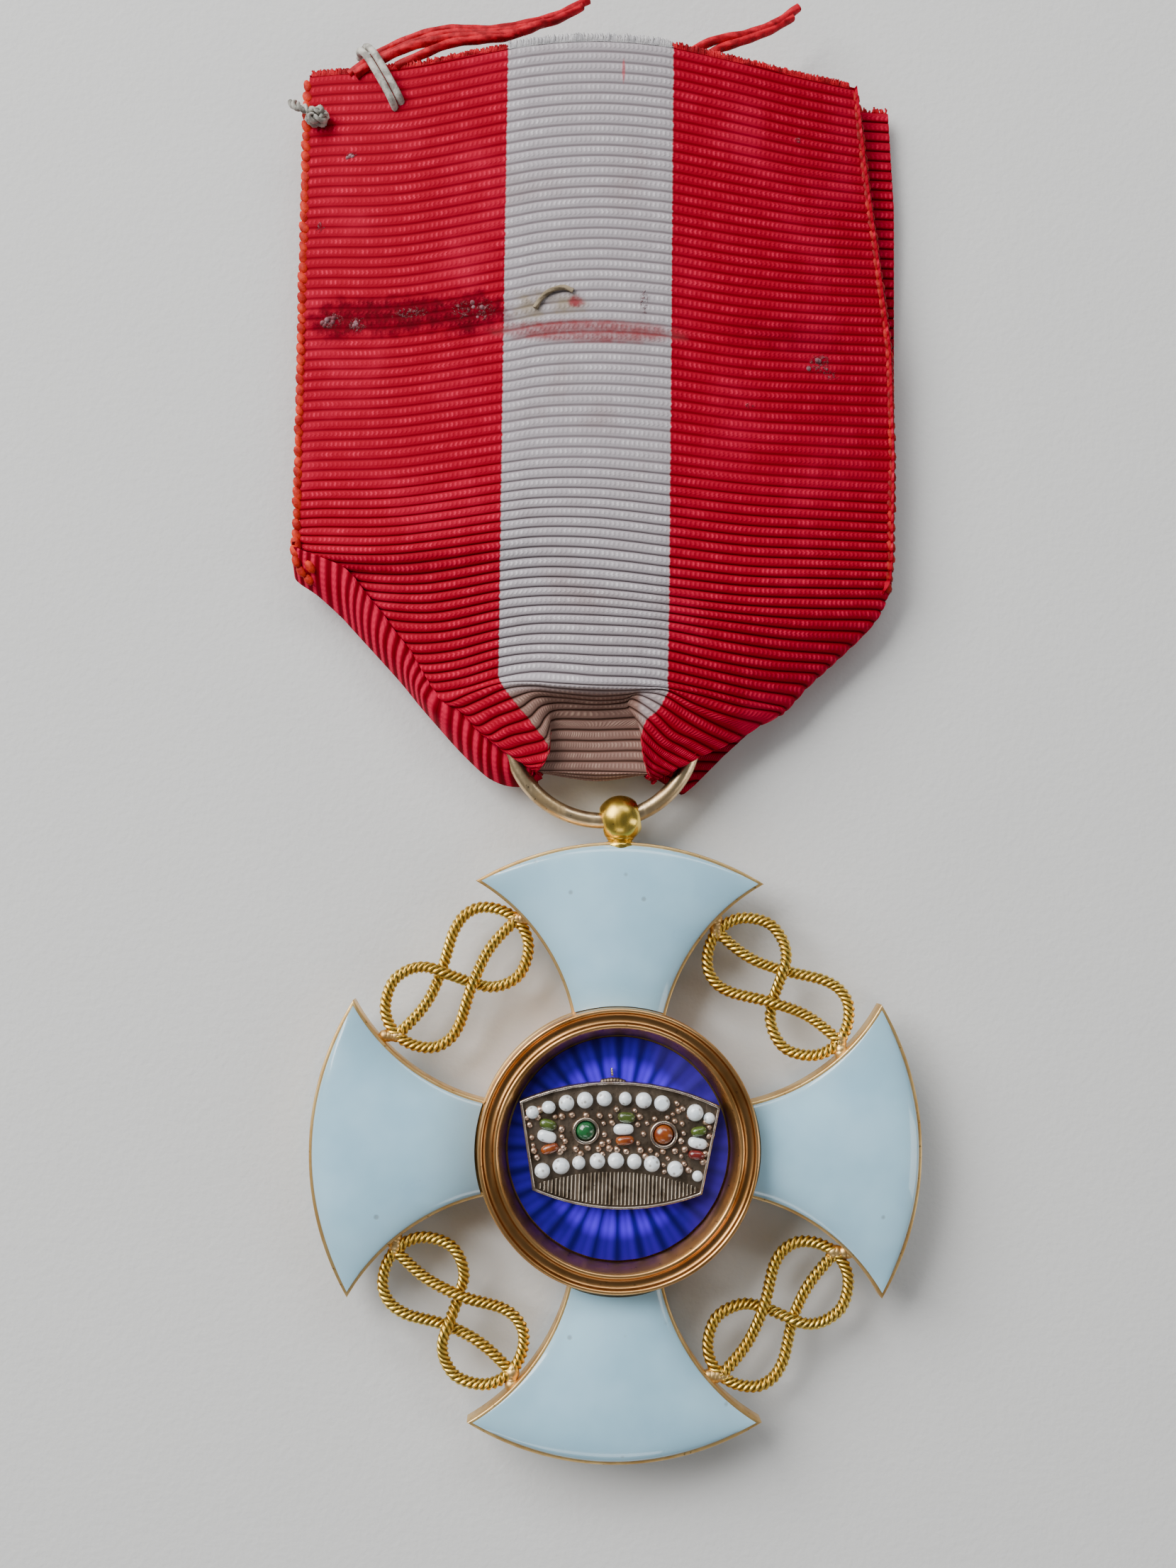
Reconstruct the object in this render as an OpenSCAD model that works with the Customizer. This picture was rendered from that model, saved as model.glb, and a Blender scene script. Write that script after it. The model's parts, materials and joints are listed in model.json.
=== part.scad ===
// Order badge: an enamelled cross with wire knots and a crowned centre, on a folded striped ribbon.
// It lies on its back: +Z is up, +Y runs from the cross to the ribbon's top end. Millimetres.
// Most places are given from the cross's centre, and place() moves them to the part's origin.

/* [Cross] */
// Distance from the centre to the middle of an arm's outer edge
arm_reach = 18.5; // [18.3:0.1:18.8]
// Half the distance between the two tips of an arm
tip_half = 8.8; // [8.2:0.1:9.2]
// Radius of an arm's outer edge
outer_arc_r = 17; // [15:0.5:20]
// Radius of an arm's hollow sides
side_arc_r = 12.3; // [11.5:0.1:13.5]
// Half an arm's width where it meets the medallion
neck_half = 3; // [2.6:0.1:3.4]
// Height of the arms' middle plane above the rest plane
arm_mid_z = 2.5; // [2.4:0.05:2.55]
// Height of the arms' gold edge
arm_edge_h = 1.5; // [1.2:0.1:1.8]
// Thickness of the plate between the front and back enamel
arm_plate_h = 0.6; // [0.6:0.1:0.8]
// Width of the gold rim round the enamel
rim_w = 0.28; // [0.2:0.02:0.4]
// How far the enamel swells above the rim in the middle of an arm
enamel_swell = 0.75; // [0.3:0.05:1]

/* [Wire knots] */
// Diameter of the knots' wire
knot_wire_d = 0.62; // [0.5:0.02:0.7]
// Size of the knots' loops, as a share of the drawn path
knot_scale = 0.945; // [0.92:0.005:1]

/* [Medallion] */
// Outer radius of the front bezel
bezel_r = 8.4; // [8.2:0.05:8.45]
// Inner radius of the front bezel
bezel_inner_r = 6.7; // [6.65:0.05:6.8]
// Height of the front bezel's top above the rest plane
bezel_top_z = 5; // [4.8:0.1:5.4]
// Radius of the blue disc
disc_r = 6.6; // [6.3:0.05:6.6]
// Thickness of the blue disc
disc_h = 0.55; // [0.4:0.05:0.6]
// Outer radius of the back bezel
back_bezel_r = 8.1; // [7.8:0.1:8.3]

/* [Crown] */
// Half the crown's width along its top edge
crown_top_half = 6; // [6:0.01:6.05]
// Half the crown's width along its bottom edge
crown_bottom_half = 5.05; // [5.05:0.05:5.2]
// Turn of the crown on the disc, in degrees
crown_turn = -1.2; // [-3:0.1:3]
// Radius of the arcs that the two rows of beads follow
bead_row_r = 14.6; // [14.6:0.1:17]

/* [Ring and ball] */
// Diameter of the ball on the top arm
ball_d = 2.9; // [2.7:0.1:3.1]
// Distance of the ball from the cross's centre
ball_reach = 19.95; // [19.8:0.05:20.1]
// Mean radius of the jump ring
ring_r = 5.75; // [5.6:0.05:5.9]
// Diameter of the jump ring's wire
ring_wire_d = 1; // [0.9:0.05:1.05]
// How far the ring leans to the left, in degrees
ring_lean = 12; // [10:1:14]

/* [Ribbon] */
// Thickness of the ribbon's wall
ribbon_wall = 1; // [1:0.05:1.1]
// Height of the front layer's bow over its side edges
ribbon_bow = 3.4; // [2.8:0.1:4]
// Clear height between the two layers at the sides
ribbon_gap = 0.4; // [0.35:0.05:0.6]

/* [Hidden] */
$fn = 64;
seat_gap = 0.05;
hub_r = 8.45;
hub_shift = [-0.1, 0.05];
medal_shift = [0, 0.17, 0];
arm_start_y = 6;
wire_sides = 8;
knot_steps = 2;

// One knot per row: quarter turn on the cross, shift along and distance from the centre, and own tilt.
knot_turn = 0;
knot_along = 1;
knot_reach = 2;
knot_tilt = 3;
KNOTS = [
    [0, 0.02, 13.96, -0.5],
    [90, -0, 13.86, 2.2],
    [180, -0.22, 14.16, -1.9],
    [270, 0, 13.75, -2.2],
];

// One white bead per row: node name, x, diameter and row.
bead_name = 0;
bead_x = 1;
bead_d = 2;
bead_row = 3;
upper_row_y = 3;
lower_row_y = -0.65;
BEADS = [
    ["bead_upper_1", -5.2, 0.8, upper_row_y],
    ["bead_upper_2", -4.25, 0.8, upper_row_y],
    ["bead_upper_3", -3.2, 0.95, upper_row_y],
    ["bead_upper_4", -2.1, 1, upper_row_y],
    ["bead_upper_5", -0.95, 0.95, upper_row_y],
    ["bead_upper_6", 0.3, 0.8, upper_row_y],
    ["bead_upper_7", 1.4, 0.95, upper_row_y],
    ["bead_upper_8", 2.5, 0.95, upper_row_y],
    ["bead_upper_9", 4.5, 1, upper_row_y],
    ["bead_upper_10", 5.35, 0.7, upper_row_y],
    ["bead_lower_1", -4.5, 0.95, lower_row_y],
    ["bead_lower_2", -3.4, 1, lower_row_y],
    ["bead_lower_3", -2.35, 0.8, lower_row_y],
    ["bead_lower_4", -1.25, 0.95, lower_row_y],
    ["bead_lower_5", -0.15, 1, lower_row_y],
    ["bead_lower_6", 0.95, 0.9, lower_row_y],
    ["bead_lower_7", 2, 0.95, lower_row_y],
    ["bead_lower_8", 3.4, 0.95, lower_row_y],
    ["bead_lower_9", 4.75, 0.65, lower_row_y],
];

// One enamel stone per row: node name, x, y, width, height across and colour.
stone_name = 0;
stone_x = 1;
stone_y = 2;
stone_w = 3;
stone_h = 4;
stone_colour = 5;
green = "seagreen";
white = "ghostwhite";
red = "orangered";
STONES = [
    ["stone_left_green", -4.25, 1.35, 1.05, 0.55, green],
    ["stone_left_white", -4.3, 0.65, 1.15, 0.65, white],
    ["stone_left_red", -4.1, -0.05, 1.1, 0.5, red],
    ["stone_middle_green", 0.4, 1.9, 1.05, 0.55, green],
    ["stone_middle_white", 0.25, 1.2, 1.2, 0.6, white],
    ["stone_middle_red", 0.35, 0.55, 1.1, 0.5, red],
    ["stone_right_green", 4.75, 1.2, 0.95, 0.5, green],
    ["stone_right_white", 4.7, 0.5, 1.15, 0.6, white],
    ["stone_right_red", 4.65, -0.2, 1, 0.5, red],
];

// One round cabochon per row: node name, x, y, diameter and colour.
cabochon_d = 3;
cabochon_colour = 4;
CABOCHONS = [
    ["cabochon_green", -2, 1.05, 1.15, green],
    ["cabochon_red", 2.65, 0.95, 1.2, red],
];

// Tiny silver grains between the stones: x and y.
GRAINS = [
    [-5.35, 1.3], [-5.2, 0.55], [-5.05, -0.2], [-3.45, 1.85], [-2.85, 1.95], [-2, 1.95], [-1.2, 1.95],
    [-0.55, 1.95], [-3.3, 0], [-2.55, -0.05], [-1.85, 0.05], [-1.2, 0], [-0.6, 0.45], [1.2, 1.95],
    [1.3, 0], [1.9, 0], [2.65, -0.05], [3.35, 0], [3.75, 1.6], [3.7, 0.6], [3.5, 2.35], [5.6, 0.9],
];
grain_d = 0.3;

// Layers of the medallion, from the hub up.
hub_top_z = arm_mid_z + arm_edge_h / 2;
hub_bottom_z = arm_mid_z - arm_edge_h / 2;
back_seat_z = hub_bottom_z - seat_gap;
back_bezel_w = 1.1;
medal_seat_z = hub_top_z + seat_gap;
disc_top_z = medal_seat_z + disc_h;
crown_seat_z = disc_top_z + seat_gap;
crown_plate_h = 0.35;
crown_top_z = crown_seat_z + crown_plate_h;
stone_seat_z = crown_top_z + 0.02;

// Half a knot, from its middle to its wire's end: u along, v outward, w up. The other half is turned round.
KNOT_HALF = [
    [0, 0, 0], [0.48, 0.94, 0.36], [1.09, 1.88, 0.22], [2.1, 2.48, 0], [3, 2.6, 0], [4, 2.22, 0],
    [4.9, 1.4, 0], [5.31, 0, 0], [4.85, -1.5, 0], [3.85, -2.45, 0], [3, -2.62, 0], [1.85, -2.25, 0],
    [1.07, -1.9, 0.16], [-0.4, -1.03, 0.36], [-1.45, -0.58, 0.22], [-2.9, 0.02, 0], [-4.55, 0.04, 0],
];

// Rows of the ribbon's path, from the front layer's top edge, through the ring, to the rear layer's top.
// turn is 0 on the front layer and 180 on the rear one. dip is how far the middle is pushed in.
row_y = 0;
row_z = 1;
row_left = 2;
row_right = 3;
row_bow = 4;
row_dip = 5;
row_turn = 6;
row_cut = 7;
rear_z = ribbon_wall / 2;
side_z = ribbon_wall * 1.5 + ribbon_gap;
waist_y = 24.2;
waist_r = 1.35;
waist_z = arm_mid_z - 0.15;
RIBBON_ROWS = [
    [67.9, side_z, -20.2, 14.6, ribbon_bow, 0, 0, 1.6],
    [66, side_z, -20.25, 14.75, ribbon_bow, 0, 0, 0.8],
    [62, side_z, -20.3, 15.1, ribbon_bow, 0, 0, 0],
    [56, side_z, -20.3, 15.9, ribbon_bow, 0, 0, 0],
    [50, side_z, -20.25, 16.7, ribbon_bow, 0, 0, 0],
    [43, side_z, -20.15, 16.9, ribbon_bow, 0, 0, 0],
    [36.5, side_z, -20.05, 16.8, ribbon_bow, 0, 0, 0],
    [34.6, side_z, -19.7, 16.5, ribbon_bow, 0, 0, 0],
    [32.6, side_z + 0.05, -17.5, 15.6, ribbon_bow, 0, 0, 0],
    [30.4, side_z + 0.2, -15, 13, ribbon_bow - 0.1, 0, 0, 0],
    [28.4, side_z + 0.4, -12.8, 10.6, ribbon_bow - 0.5, 0, 0, 0],
    [27.4, side_z + 0.6, -11.6, 9.4, ribbon_bow - 0.9, 0.2, 0, 0],
    [26.6, side_z + 0.8, -10.7, 8.4, 2, 1.2, 0, 0],
    [25.6, side_z + 1.1, -9.5, 7.1, 1.5, 1.6, 0, 0],
    [24.8, side_z + 1.5, -8, 5.6, 0.8, 1.3, 0, 0],
    [waist_y, waist_z + waist_r, -5.9, 3.5, 0.2, 0.8, 0, 0],
    [waist_y, waist_z, -5.3, 2.9, 0, 0.5, 30, 0],
    [waist_y, waist_z, -5.1, 2.7, 0, 0.3, 60, 0],
    [waist_y, waist_z, -5, 2.6, 0, 0.1, 90, 0],
    [waist_y, waist_z, -5.1, 2.7, 0, 0, 120, 0],
    [waist_y, waist_z, -5.4, 3, 0, 0, 150, 0],
    [waist_y, waist_z - waist_r, -6.2, 3.8, 0, 0, 180, 0],
    [25.2, 0.8, -9, 7, 0, 0, 180, 0],
    [26.6, 0.6, -10.8, 8.6, 0, 0, 180, 0],
    [28.4, rear_z, -12.9, 10.8, 0, 0, 180, 0],
    [32.6, rear_z, -17.6, 15.7, 0, 0, 180, 0],
    [34.6, rear_z, -19.6, 16.5, 0, 0, 180, 0],
    [36.5, rear_z, -19.9, 16.8, 0, 0, 180, 0],
    [50, rear_z, -20.1, 16.9, 0, 0, 180, 0],
    [66.9, rear_z, -20.1, 16.9, 0, 0, 180, 0.5],
];
ribbon_left = min([for (r = RIBBON_ROWS) r[row_left]]);
ribbon_top = max([for (r = RIBBON_ROWS) r[row_y]]);

part_middle_x = (ribbon_left + arm_reach) / 2;
part_middle_y = (ribbon_top - arm_reach) / 2;

// Centre of the arc of radius r through p and q that lies to the right of the way from p to q.
function arc_centre(p, q, r) =
    let (m = (p + q) / 2, d = q - p, h = sqrt(r * r - d * d / 4))
    m + h * [d[1], -d[0]] / norm(d);

outer_centre_y = arm_reach - outer_arc_r;
tip_y = outer_centre_y + sqrt(pow(outer_arc_r, 2) - pow(tip_half, 2));
neck_y = 8.67;
side_centre = arc_centre([neck_half, neck_y], [tip_half, tip_y], side_arc_r);

// Point on the smooth curve through a, b, c and d, from b at t 0 to c at t 1.
function curve_point(a, b, c, d, t) =
    0.5 * (2 * b + (c - a) * t + (2 * a - 5 * b + 4 * c - d) * t * t + (3 * b - a - 3 * c + d) * t * t * t);

// A smooth path through all the points, with steps pieces between two points.
function smooth_path(points, steps) =
    let (last = len(points) - 1)
    [
        for (i = [0 : last - 1])
            for (s = [0 : steps - 1])
                curve_point(
                    points[max(i - 1, 0)], points[i], points[i + 1], points[min(i + 2, last)], s / steps
                ),
        points[last],
    ];

function unit(v) = v / norm(v);
function reversed(list) = [for (i = [len(list) - 1 : -1 : 0]) list[i]];

// Triangles of a tube or a sheet: count rings of sides points each, with both ends closed.
function ring_sides(count, sides) = [
    for (i = [0 : count - 2])
        for (j = [0 : sides - 1])
            let (k = (j + 1) % sides, a = i * sides)
            each [[a + j, a + sides + j, a + k], [a + k, a + sides + j, a + sides + k]],
];

// A closed tube of round section swept along a flat-lying path.
module wire(path, d, sides) {
    last = len(path) - 1;
    points = [
        for (i = [0 : last])
            let (
                way = unit(path[min(i + 1, last)] - path[max(i - 1, 0)]),
                across = unit(cross([0, 0, 1], way)),
                up = cross(way, across)
            )
            for (j = [0 : sides - 1])
                path[i] + d / 2 * (cos(360 * j / sides) * across + sin(360 * j / sides) * up),
    ];
    first_cap = [for (j = [1 : sides - 2]) [0, j, j + 1]];
    last_cap = [for (j = [1 : sides - 2]) [last * sides, last * sides + j + 1, last * sides + j]];
    polyhedron(points, concat(ring_sides(last + 1, sides), first_cap, last_cap), convexity = 10);
}

module place() {
    translate([-part_middle_x, -part_middle_y, 0]) children();
}

// Outline of the top arm, drawn in by inset on all its edges.
module arm_outline(inset) {
    intersection() {
        translate([0, outer_centre_y]) circle(r = outer_arc_r - inset, $fn = 128);
        difference() {
            translate([-tip_half - 1, arm_start_y]) square([2 * tip_half + 2, arm_reach]);
            for (side = [-1, 1]) {
                translate([side * side_centre[0], side_centre[1]])
                    circle(r = side_arc_r + inset, $fn = 128);
            }
        }
    }
}

// The part of an arm that the enamel fills.
module tray_outline() {
    difference() {
        arm_outline(rim_w);
        circle(r = enamel_neck_r - seat_gap, $fn = 128);
    }
}

// The hub and four arms, each a plate with a rim that stands up on both faces.
module arms_and_hub() {
    difference() {
        translate([0, 0, hub_bottom_z]) linear_extrude(arm_edge_h) {
            translate(hub_shift) circle(r = hub_r, $fn = 128);
            for (turn = [0 : 90 : 270]) {
                rotate(turn) arm_outline(0);
            }
        }
        for (turn = [0 : 90 : 270], face_z = [arm_plate_h / 2, -arm_plate_h / 2 - arm_edge_h]) {
            rotate([0, 0, turn])
                translate([0, 0, arm_mid_z + face_z])
                    linear_extrude(arm_edge_h) tray_outline();
        }
    }
}

// One knot, with a short run of solder at each end that reaches into the arm beside it.
module wire_knot() {
    solder_start = 4.7;
    solder_end = 6;
    solder_y = 0.5;
    back_half = [for (p = reversed(KNOT_HALF)) -p];
    path = concat([for (i = [0 : len(back_half) - 2]) back_half[i]], KNOT_HALF);
    wire(knot_scale * smooth_path(path, knot_steps), knot_wire_d, wire_sides);
    for (side = [-1, 1]) {
        wire(
            [[side * solder_start, solder_y, 0], [side * solder_end, solder_y, 0]],
            knot_wire_d * 0.9, wire_sides
        );
    }
}

// The ball, drilled along the ring's way through it, on a short foot.
module ball_loop() {
    hole_r = ring_wire_d / 2 + 0.3;
    foot_d = 1.9;
    foot_h = 0.45;
    translate([0, ball_reach, arm_mid_z])
        rotate([0, 90, ring_lean])
            rotate_extrude($fn = 64)
                intersection() {
                    circle(d = ball_d, $fn = 64);
                    translate([hole_r, -ball_d]) square([ball_d, 2 * ball_d]);
                }
    translate([0, arm_reach - 0.15, arm_mid_z])
        rotate([-90, 0, 0]) cylinder(d = foot_d, h = foot_h, $fn = 48);
}

module cross_frame() {
    color("goldenrod") place() {
        arms_and_hub();
        for (k = KNOTS) {
            rotate([0, 0, k[knot_turn] + 45])
                translate([k[knot_along], -k[knot_reach], arm_mid_z])
                    rotate([0, 0, k[knot_tilt]]) mirror([0, 1, 0]) wire_knot();
        }
        ball_loop();
    }
}

// A soft pillow of enamel that fills one arm's tray.
enamel_rows = 9;
enamel_columns = 14;
enamel_inset = rim_w + seat_gap;
enamel_neck_r = 8.65;
function side_point(s) =
    let (
        r = side_arc_r + enamel_inset,
        reach_r = outer_arc_r - enamel_inset,
        tip_a = arc_angle(r, [0, outer_centre_y], reach_r),
        neck_a = arc_angle(r, [0, 0], enamel_neck_r),
        a = neck_a + (tip_a - neck_a) * s
    )
    side_centre + r * [cos(a), sin(a)];
// Angle on the side arc of radius r where it meets the circle of radius other_r about c.
function arc_angle(r, c, other_r) =
    let (
        d = c - side_centre,
        along = acos((r * r + d * d - other_r * other_r) / (2 * r * norm(d)))
    )
    atan2(d[1], d[0]) - along;
// How far a row of the pillow bows outward in its middle.
function row_bulge(s) =
    let (
        neck_bulge = enamel_neck_r - side_point(0)[1],
        tip_bulge = arm_reach - enamel_inset - side_point(1)[1]
    )
    neck_bulge + (tip_bulge - neck_bulge) * s;
function pillow_height(s, t) =
    enamel_swell * pow(max(0, 1 - pow(abs(t), 2.6)), 0.6) * pow(max(0, 1 - pow(s, 5)), 0.5);
function pillow_point(i, j) =
    let (s = i / enamel_rows, t = 2 * j / enamel_columns - 1, p = side_point(s))
    [t * p[0], p[1] + row_bulge(s) * (1 - t * t), pillow_height(s, t)];

module enamel_panel(turn, face) {
    floor_z = arm_plate_h / 2 + seat_gap;
    rim_z = arm_edge_h / 2;
    top = [
        for (i = [0 : enamel_rows])
            for (j = [0 : enamel_columns]) pillow_point(i, j) + [0, 0, rim_z],
    ];
    bottom = [for (p = top) [p[0], p[1], floor_z]];
    n = enamel_columns + 1;
    count = len(top);
    edge = concat(
        [for (j = [0 : enamel_columns]) j],
        [for (i = [1 : enamel_rows]) i * n + enamel_columns],
        [for (j = [enamel_columns - 1 : -1 : 0]) enamel_rows * n + j],
        [for (i = [enamel_rows - 1 : -1 : 1]) i * n]
    );
    faces = concat(
        [for (i = [0 : enamel_rows - 1]) for (j = [0 : enamel_columns - 1])
            let (a = i * n + j)
            each [[a, a + n, a + 1], [a + 1, a + n, a + n + 1]]],
        [for (i = [0 : enamel_rows - 1]) for (j = [0 : enamel_columns - 1])
            let (a = count + i * n + j)
            each [[a, a + 1, a + n], [a + 1, a + n + 1, a + n]]],
        [for (k = [0 : len(edge) - 1])
            let (a = edge[k], b = edge[(k + 1) % len(edge)])
            each [[a, b, a + count], [b, b + count, a + count]]]
    );
    color("aliceblue") place()
        translate([0, 0, arm_mid_z])
            rotate([0, face == "back" ? 180 : 0, turn])
                polyhedron(concat(top, bottom), faces, convexity = 4);
}

// Front bezel: an outer bead, a hollow and an inner bead over the disc's edge.
module front_bezel() {
    outer_bead_r = 0.28;
    inner_bead_r = 0.37;
    hollow_r = 0.45;
    hollow_reach = 1.05;
    wall_top_z = bezel_top_z - inner_bead_r;
    color("peru") place() translate(medal_shift)
        rotate_extrude($fn = 128)
            difference() {
                union() {
                    translate([bezel_inner_r, medal_seat_z])
                        square([bezel_r - bezel_inner_r, wall_top_z - medal_seat_z]);
                    translate([bezel_r - outer_bead_r, wall_top_z])
                        circle(r = outer_bead_r, $fn = 32);
                    translate([bezel_inner_r + inner_bead_r, wall_top_z])
                        circle(r = inner_bead_r, $fn = 32);
                }
                translate([bezel_inner_r + hollow_reach, bezel_top_z - 0.2])
                    circle(r = hollow_r, $fn = 32);
            }
}

module blue_disc() {
    color("mediumblue") place()
        translate(medal_shift + [0, 0, medal_seat_z]) cylinder(r = disc_r, h = disc_h, $fn = 128);
}

module back_bezel() {
    bevel = 0.5;
    color("peru") place()
        rotate_extrude($fn = 128)
            difference() {
                translate([back_bezel_r - back_bezel_w, 0]) square([back_bezel_w, back_seat_z]);
                translate([back_bezel_r, 0]) rotate(45) square(bevel, center = true);
            }
}

module back_plate() {
    plate_z = 0.4;
    color("goldenrod") place()
        translate([0, 0, plate_z])
            cylinder(r = back_bezel_r - back_bezel_w - seat_gap, h = back_seat_z - plate_z, $fn = 128);
}

module crown_frame() {
    place() translate(medal_shift) rotate([0, 0, crown_turn]) children();
}

// Outline of the crown: an arched top, leaning sides and a sagging bottom, drawn in by inset.
crown_side_y = 2.7;
crown_foot_y = -2.5;
crown_crest_y = 4;
crown_low_y = -3.5;
function arc_r(half, rise) = (half * half + rise * rise) / (2 * rise);
module crown_outline(inset) {
    top_r = arc_r(crown_top_half, crown_crest_y - crown_side_y);
    low_r = arc_r(crown_bottom_half, crown_foot_y - crown_low_y);
    intersection() {
        polygon([
            [-crown_bottom_half + inset, crown_foot_y], [-crown_bottom_half + inset, crown_low_y - 1],
            [crown_bottom_half - inset, crown_low_y - 1], [crown_bottom_half - inset, crown_foot_y],
            [crown_top_half - inset, crown_side_y], [crown_top_half - inset, crown_crest_y + 1],
            [-crown_top_half + inset, crown_crest_y + 1], [-crown_top_half + inset, crown_side_y],
        ]);
        translate([0, crown_crest_y - top_r]) circle(r = top_r - inset, $fn = 128);
        translate([0, crown_low_y + low_r]) circle(r = low_r - inset, $fn = 128);
    }
}

// Height on the disc of a row of beads, at x.
function row_at(x, middle_y) = middle_y - bead_row_r + sqrt(pow(bead_row_r, 2) - x * x);

// The crown: a plate with a raised edge, collets, silver grains and, below the beads, the hatched inside.
module crown_band() {
    edge_w = 0.16;
    edge_h = 0.2;
    hatch_y = -1.35;
    hatch_pitch = 0.32;
    hatch_h = 0.1;
    hatch_end = 4.7;
    collet_w = 0.2;
    collet_h = 0.2;
    color("silver") crown_frame() {
        difference() {
            translate([0, 0, crown_seat_z]) linear_extrude(crown_plate_h + edge_h) crown_outline(0);
            translate([0, 0, crown_top_z]) linear_extrude(1) crown_outline(edge_w);
        }
        for (c = CABOCHONS) {
            translate([c[stone_x], c[stone_y], crown_top_z - hatch_h]) difference() {
                cylinder(d = c[cabochon_d] + 2 * collet_w, h = collet_h + hatch_h, $fn = 32);
                translate([0, 0, -1]) cylinder(d = c[cabochon_d] + 2 * seat_gap, h = 2, $fn = 32);
            }
        }
        for (g = GRAINS) {
            translate([g[0], g[1], crown_top_z]) sphere(d = grain_d, $fn = 16);
        }
        translate([0, 0, crown_top_z - hatch_h]) linear_extrude(2 * hatch_h) intersection() {
            crown_outline(edge_w + seat_gap);
            translate([0, hatch_y - bead_row_r]) circle(r = bead_row_r, $fn = 128);
            for (x = [-hatch_end : hatch_pitch : hatch_end]) {
                translate([x, crown_low_y]) square([hatch_pitch / 2, 3]);
            }
        }
    }
}

// A dome that sits on the crown's plate.
module dome(d, rise) {
    r = arc_r(d / 2, rise);
    intersection() {
        translate([0, 0, rise - r]) sphere(r = r, $fn = 32);
        translate([-d, -d, 0]) cube([2 * d, 2 * d, 2]);
    }
}

// A white bead, a little more than half a ball, in one of the two rows.
module bead(b) {
    sunk = 0.12;
    color("ghostwhite") crown_frame()
        translate([b[bead_x], row_at(b[bead_x], b[bead_row]), stone_seat_z])
            intersection() {
                translate([0, 0, b[bead_d] * sunk]) sphere(d = b[bead_d], $fn = 32);
                translate([-1, -1, 0]) cube([2, 2, 2]);
            }
}

// A lens-shaped stone with a domed top.
module stone(s) {
    r = arc_r(s[stone_w] / 2, s[stone_h] / 2);
    rise = 0.45;
    wall_h = 0.15;
    dome_r = arc_r(s[stone_w] / 2, rise - wall_h);
    color(s[stone_colour]) crown_frame()
        translate([s[stone_x], s[stone_y], stone_seat_z])
            intersection() {
                linear_extrude(rise) intersection() {
                    translate([0, r - s[stone_h] / 2]) circle(r = r, $fn = 64);
                    translate([0, s[stone_h] / 2 - r]) circle(r = r, $fn = 64);
                }
                translate([0, 0, rise - dome_r]) sphere(r = dome_r, $fn = 32);
            }
}

module cabochon(c) {
    color(c[cabochon_colour]) crown_frame()
        translate([c[stone_x], c[stone_y], stone_seat_z]) dome(c[cabochon_d], 0.5);
}

module jump_ring() {
    color("rosybrown") place()
        translate([-ring_r * sin(ring_lean), ball_reach + ring_r * cos(ring_lean), arm_mid_z])
            rotate_extrude($fn = 96)
                translate([ring_r, 0]) circle(d = ring_wire_d, $fn = 32);
}

// The ribbon's wall: rows across its path, each with an outer and an inner side.
ribbon_columns = 26;
dip_middle = -1.75;
dip_half = 5.1;
function smooth_step(t) = let (c = min(1, max(0, t))) c * c * (3 - 2 * c);
function row_point(r, j, side) =
    let (
        u = 2 * j / ribbon_columns - 1,
        x = (r[row_left] + r[row_right]) / 2 + u * (r[row_right] - r[row_left]) / 2,
        reach = r[row_turn] > 0 && r[row_turn] < 180 ? waist_r : 0,
        dip = r[row_dip] * smooth_step((dip_half * 0.85 - abs(x - dip_middle)) / (dip_half * 0.4)),
        out = reach + r[row_bow] * (1 - u * u) - dip + side * ribbon_wall / 2,
        y = r[row_y] - r[row_cut] * u * u
    )
    [x, y - out * sin(r[row_turn]), r[row_z] + out * cos(r[row_turn])];

module ribbon_wall_solid() {
    n = ribbon_columns + 1;
    points = [
        for (r = RIBBON_ROWS)
            each concat(
                [for (j = [ribbon_columns : -1 : 0]) row_point(r, j, 1)],
                [for (j = [0 : ribbon_columns]) row_point(r, j, -1)]
            ),
    ];
    sides = 2 * n;
    last = (len(RIBBON_ROWS) - 1) * sides;
    first_cap = [
        for (j = [0 : ribbon_columns - 1])
            each [[j, j + 1, sides - 1 - j], [j + 1, sides - 2 - j, sides - 1 - j]],
    ];
    last_cap = [for (f = first_cap) [f[0] + last, f[2] + last, f[1] + last]];
    polyhedron(points, concat(ring_sides(len(RIBBON_ROWS), sides), first_cap, last_cap), convexity = 10);
}

// The rear layer's lower corners, which show below the front layer on both sides of the ring.
module ribbon_corners() {
    corner_z = 0.35;
    corner_h = 0.85;
    translate([0, 0, corner_z]) linear_extrude(corner_h) {
        polygon([[-9.6, 25.4], [-10.5, 26.8], [-8.4, 23.3], [-7.4, 22.5], [-6.4, 23], [-5.6, 24.4]]);
        polygon([[3.2, 24.4], [3, 22.6], [3.9, 21.7], [5, 22.5], [8.35, 26.8], [7, 25.6]]);
    }
}

module ribbon() {
    color("crimson") place() {
        ribbon_wall_solid();
        ribbon_corners();
    }
}

cross_frame();
front_bezel();
blue_disc();
crown_band();
back_bezel();
back_plate();
jump_ring();
ribbon();
enamel_panel(0, "front");  // enamel_top
enamel_panel(270, "front");  // enamel_right
enamel_panel(180, "front");  // enamel_bottom
enamel_panel(90, "front");  // enamel_left
enamel_panel(0, "back");  // back_enamel_top
enamel_panel(270, "back");  // back_enamel_right
enamel_panel(180, "back");  // back_enamel_bottom
enamel_panel(90, "back");  // back_enamel_left
for (c = CABOCHONS) cabochon(c);
for (s = STONES) stone(s);
for (b = BEADS) bead(b);
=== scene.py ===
import json
import math

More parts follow.
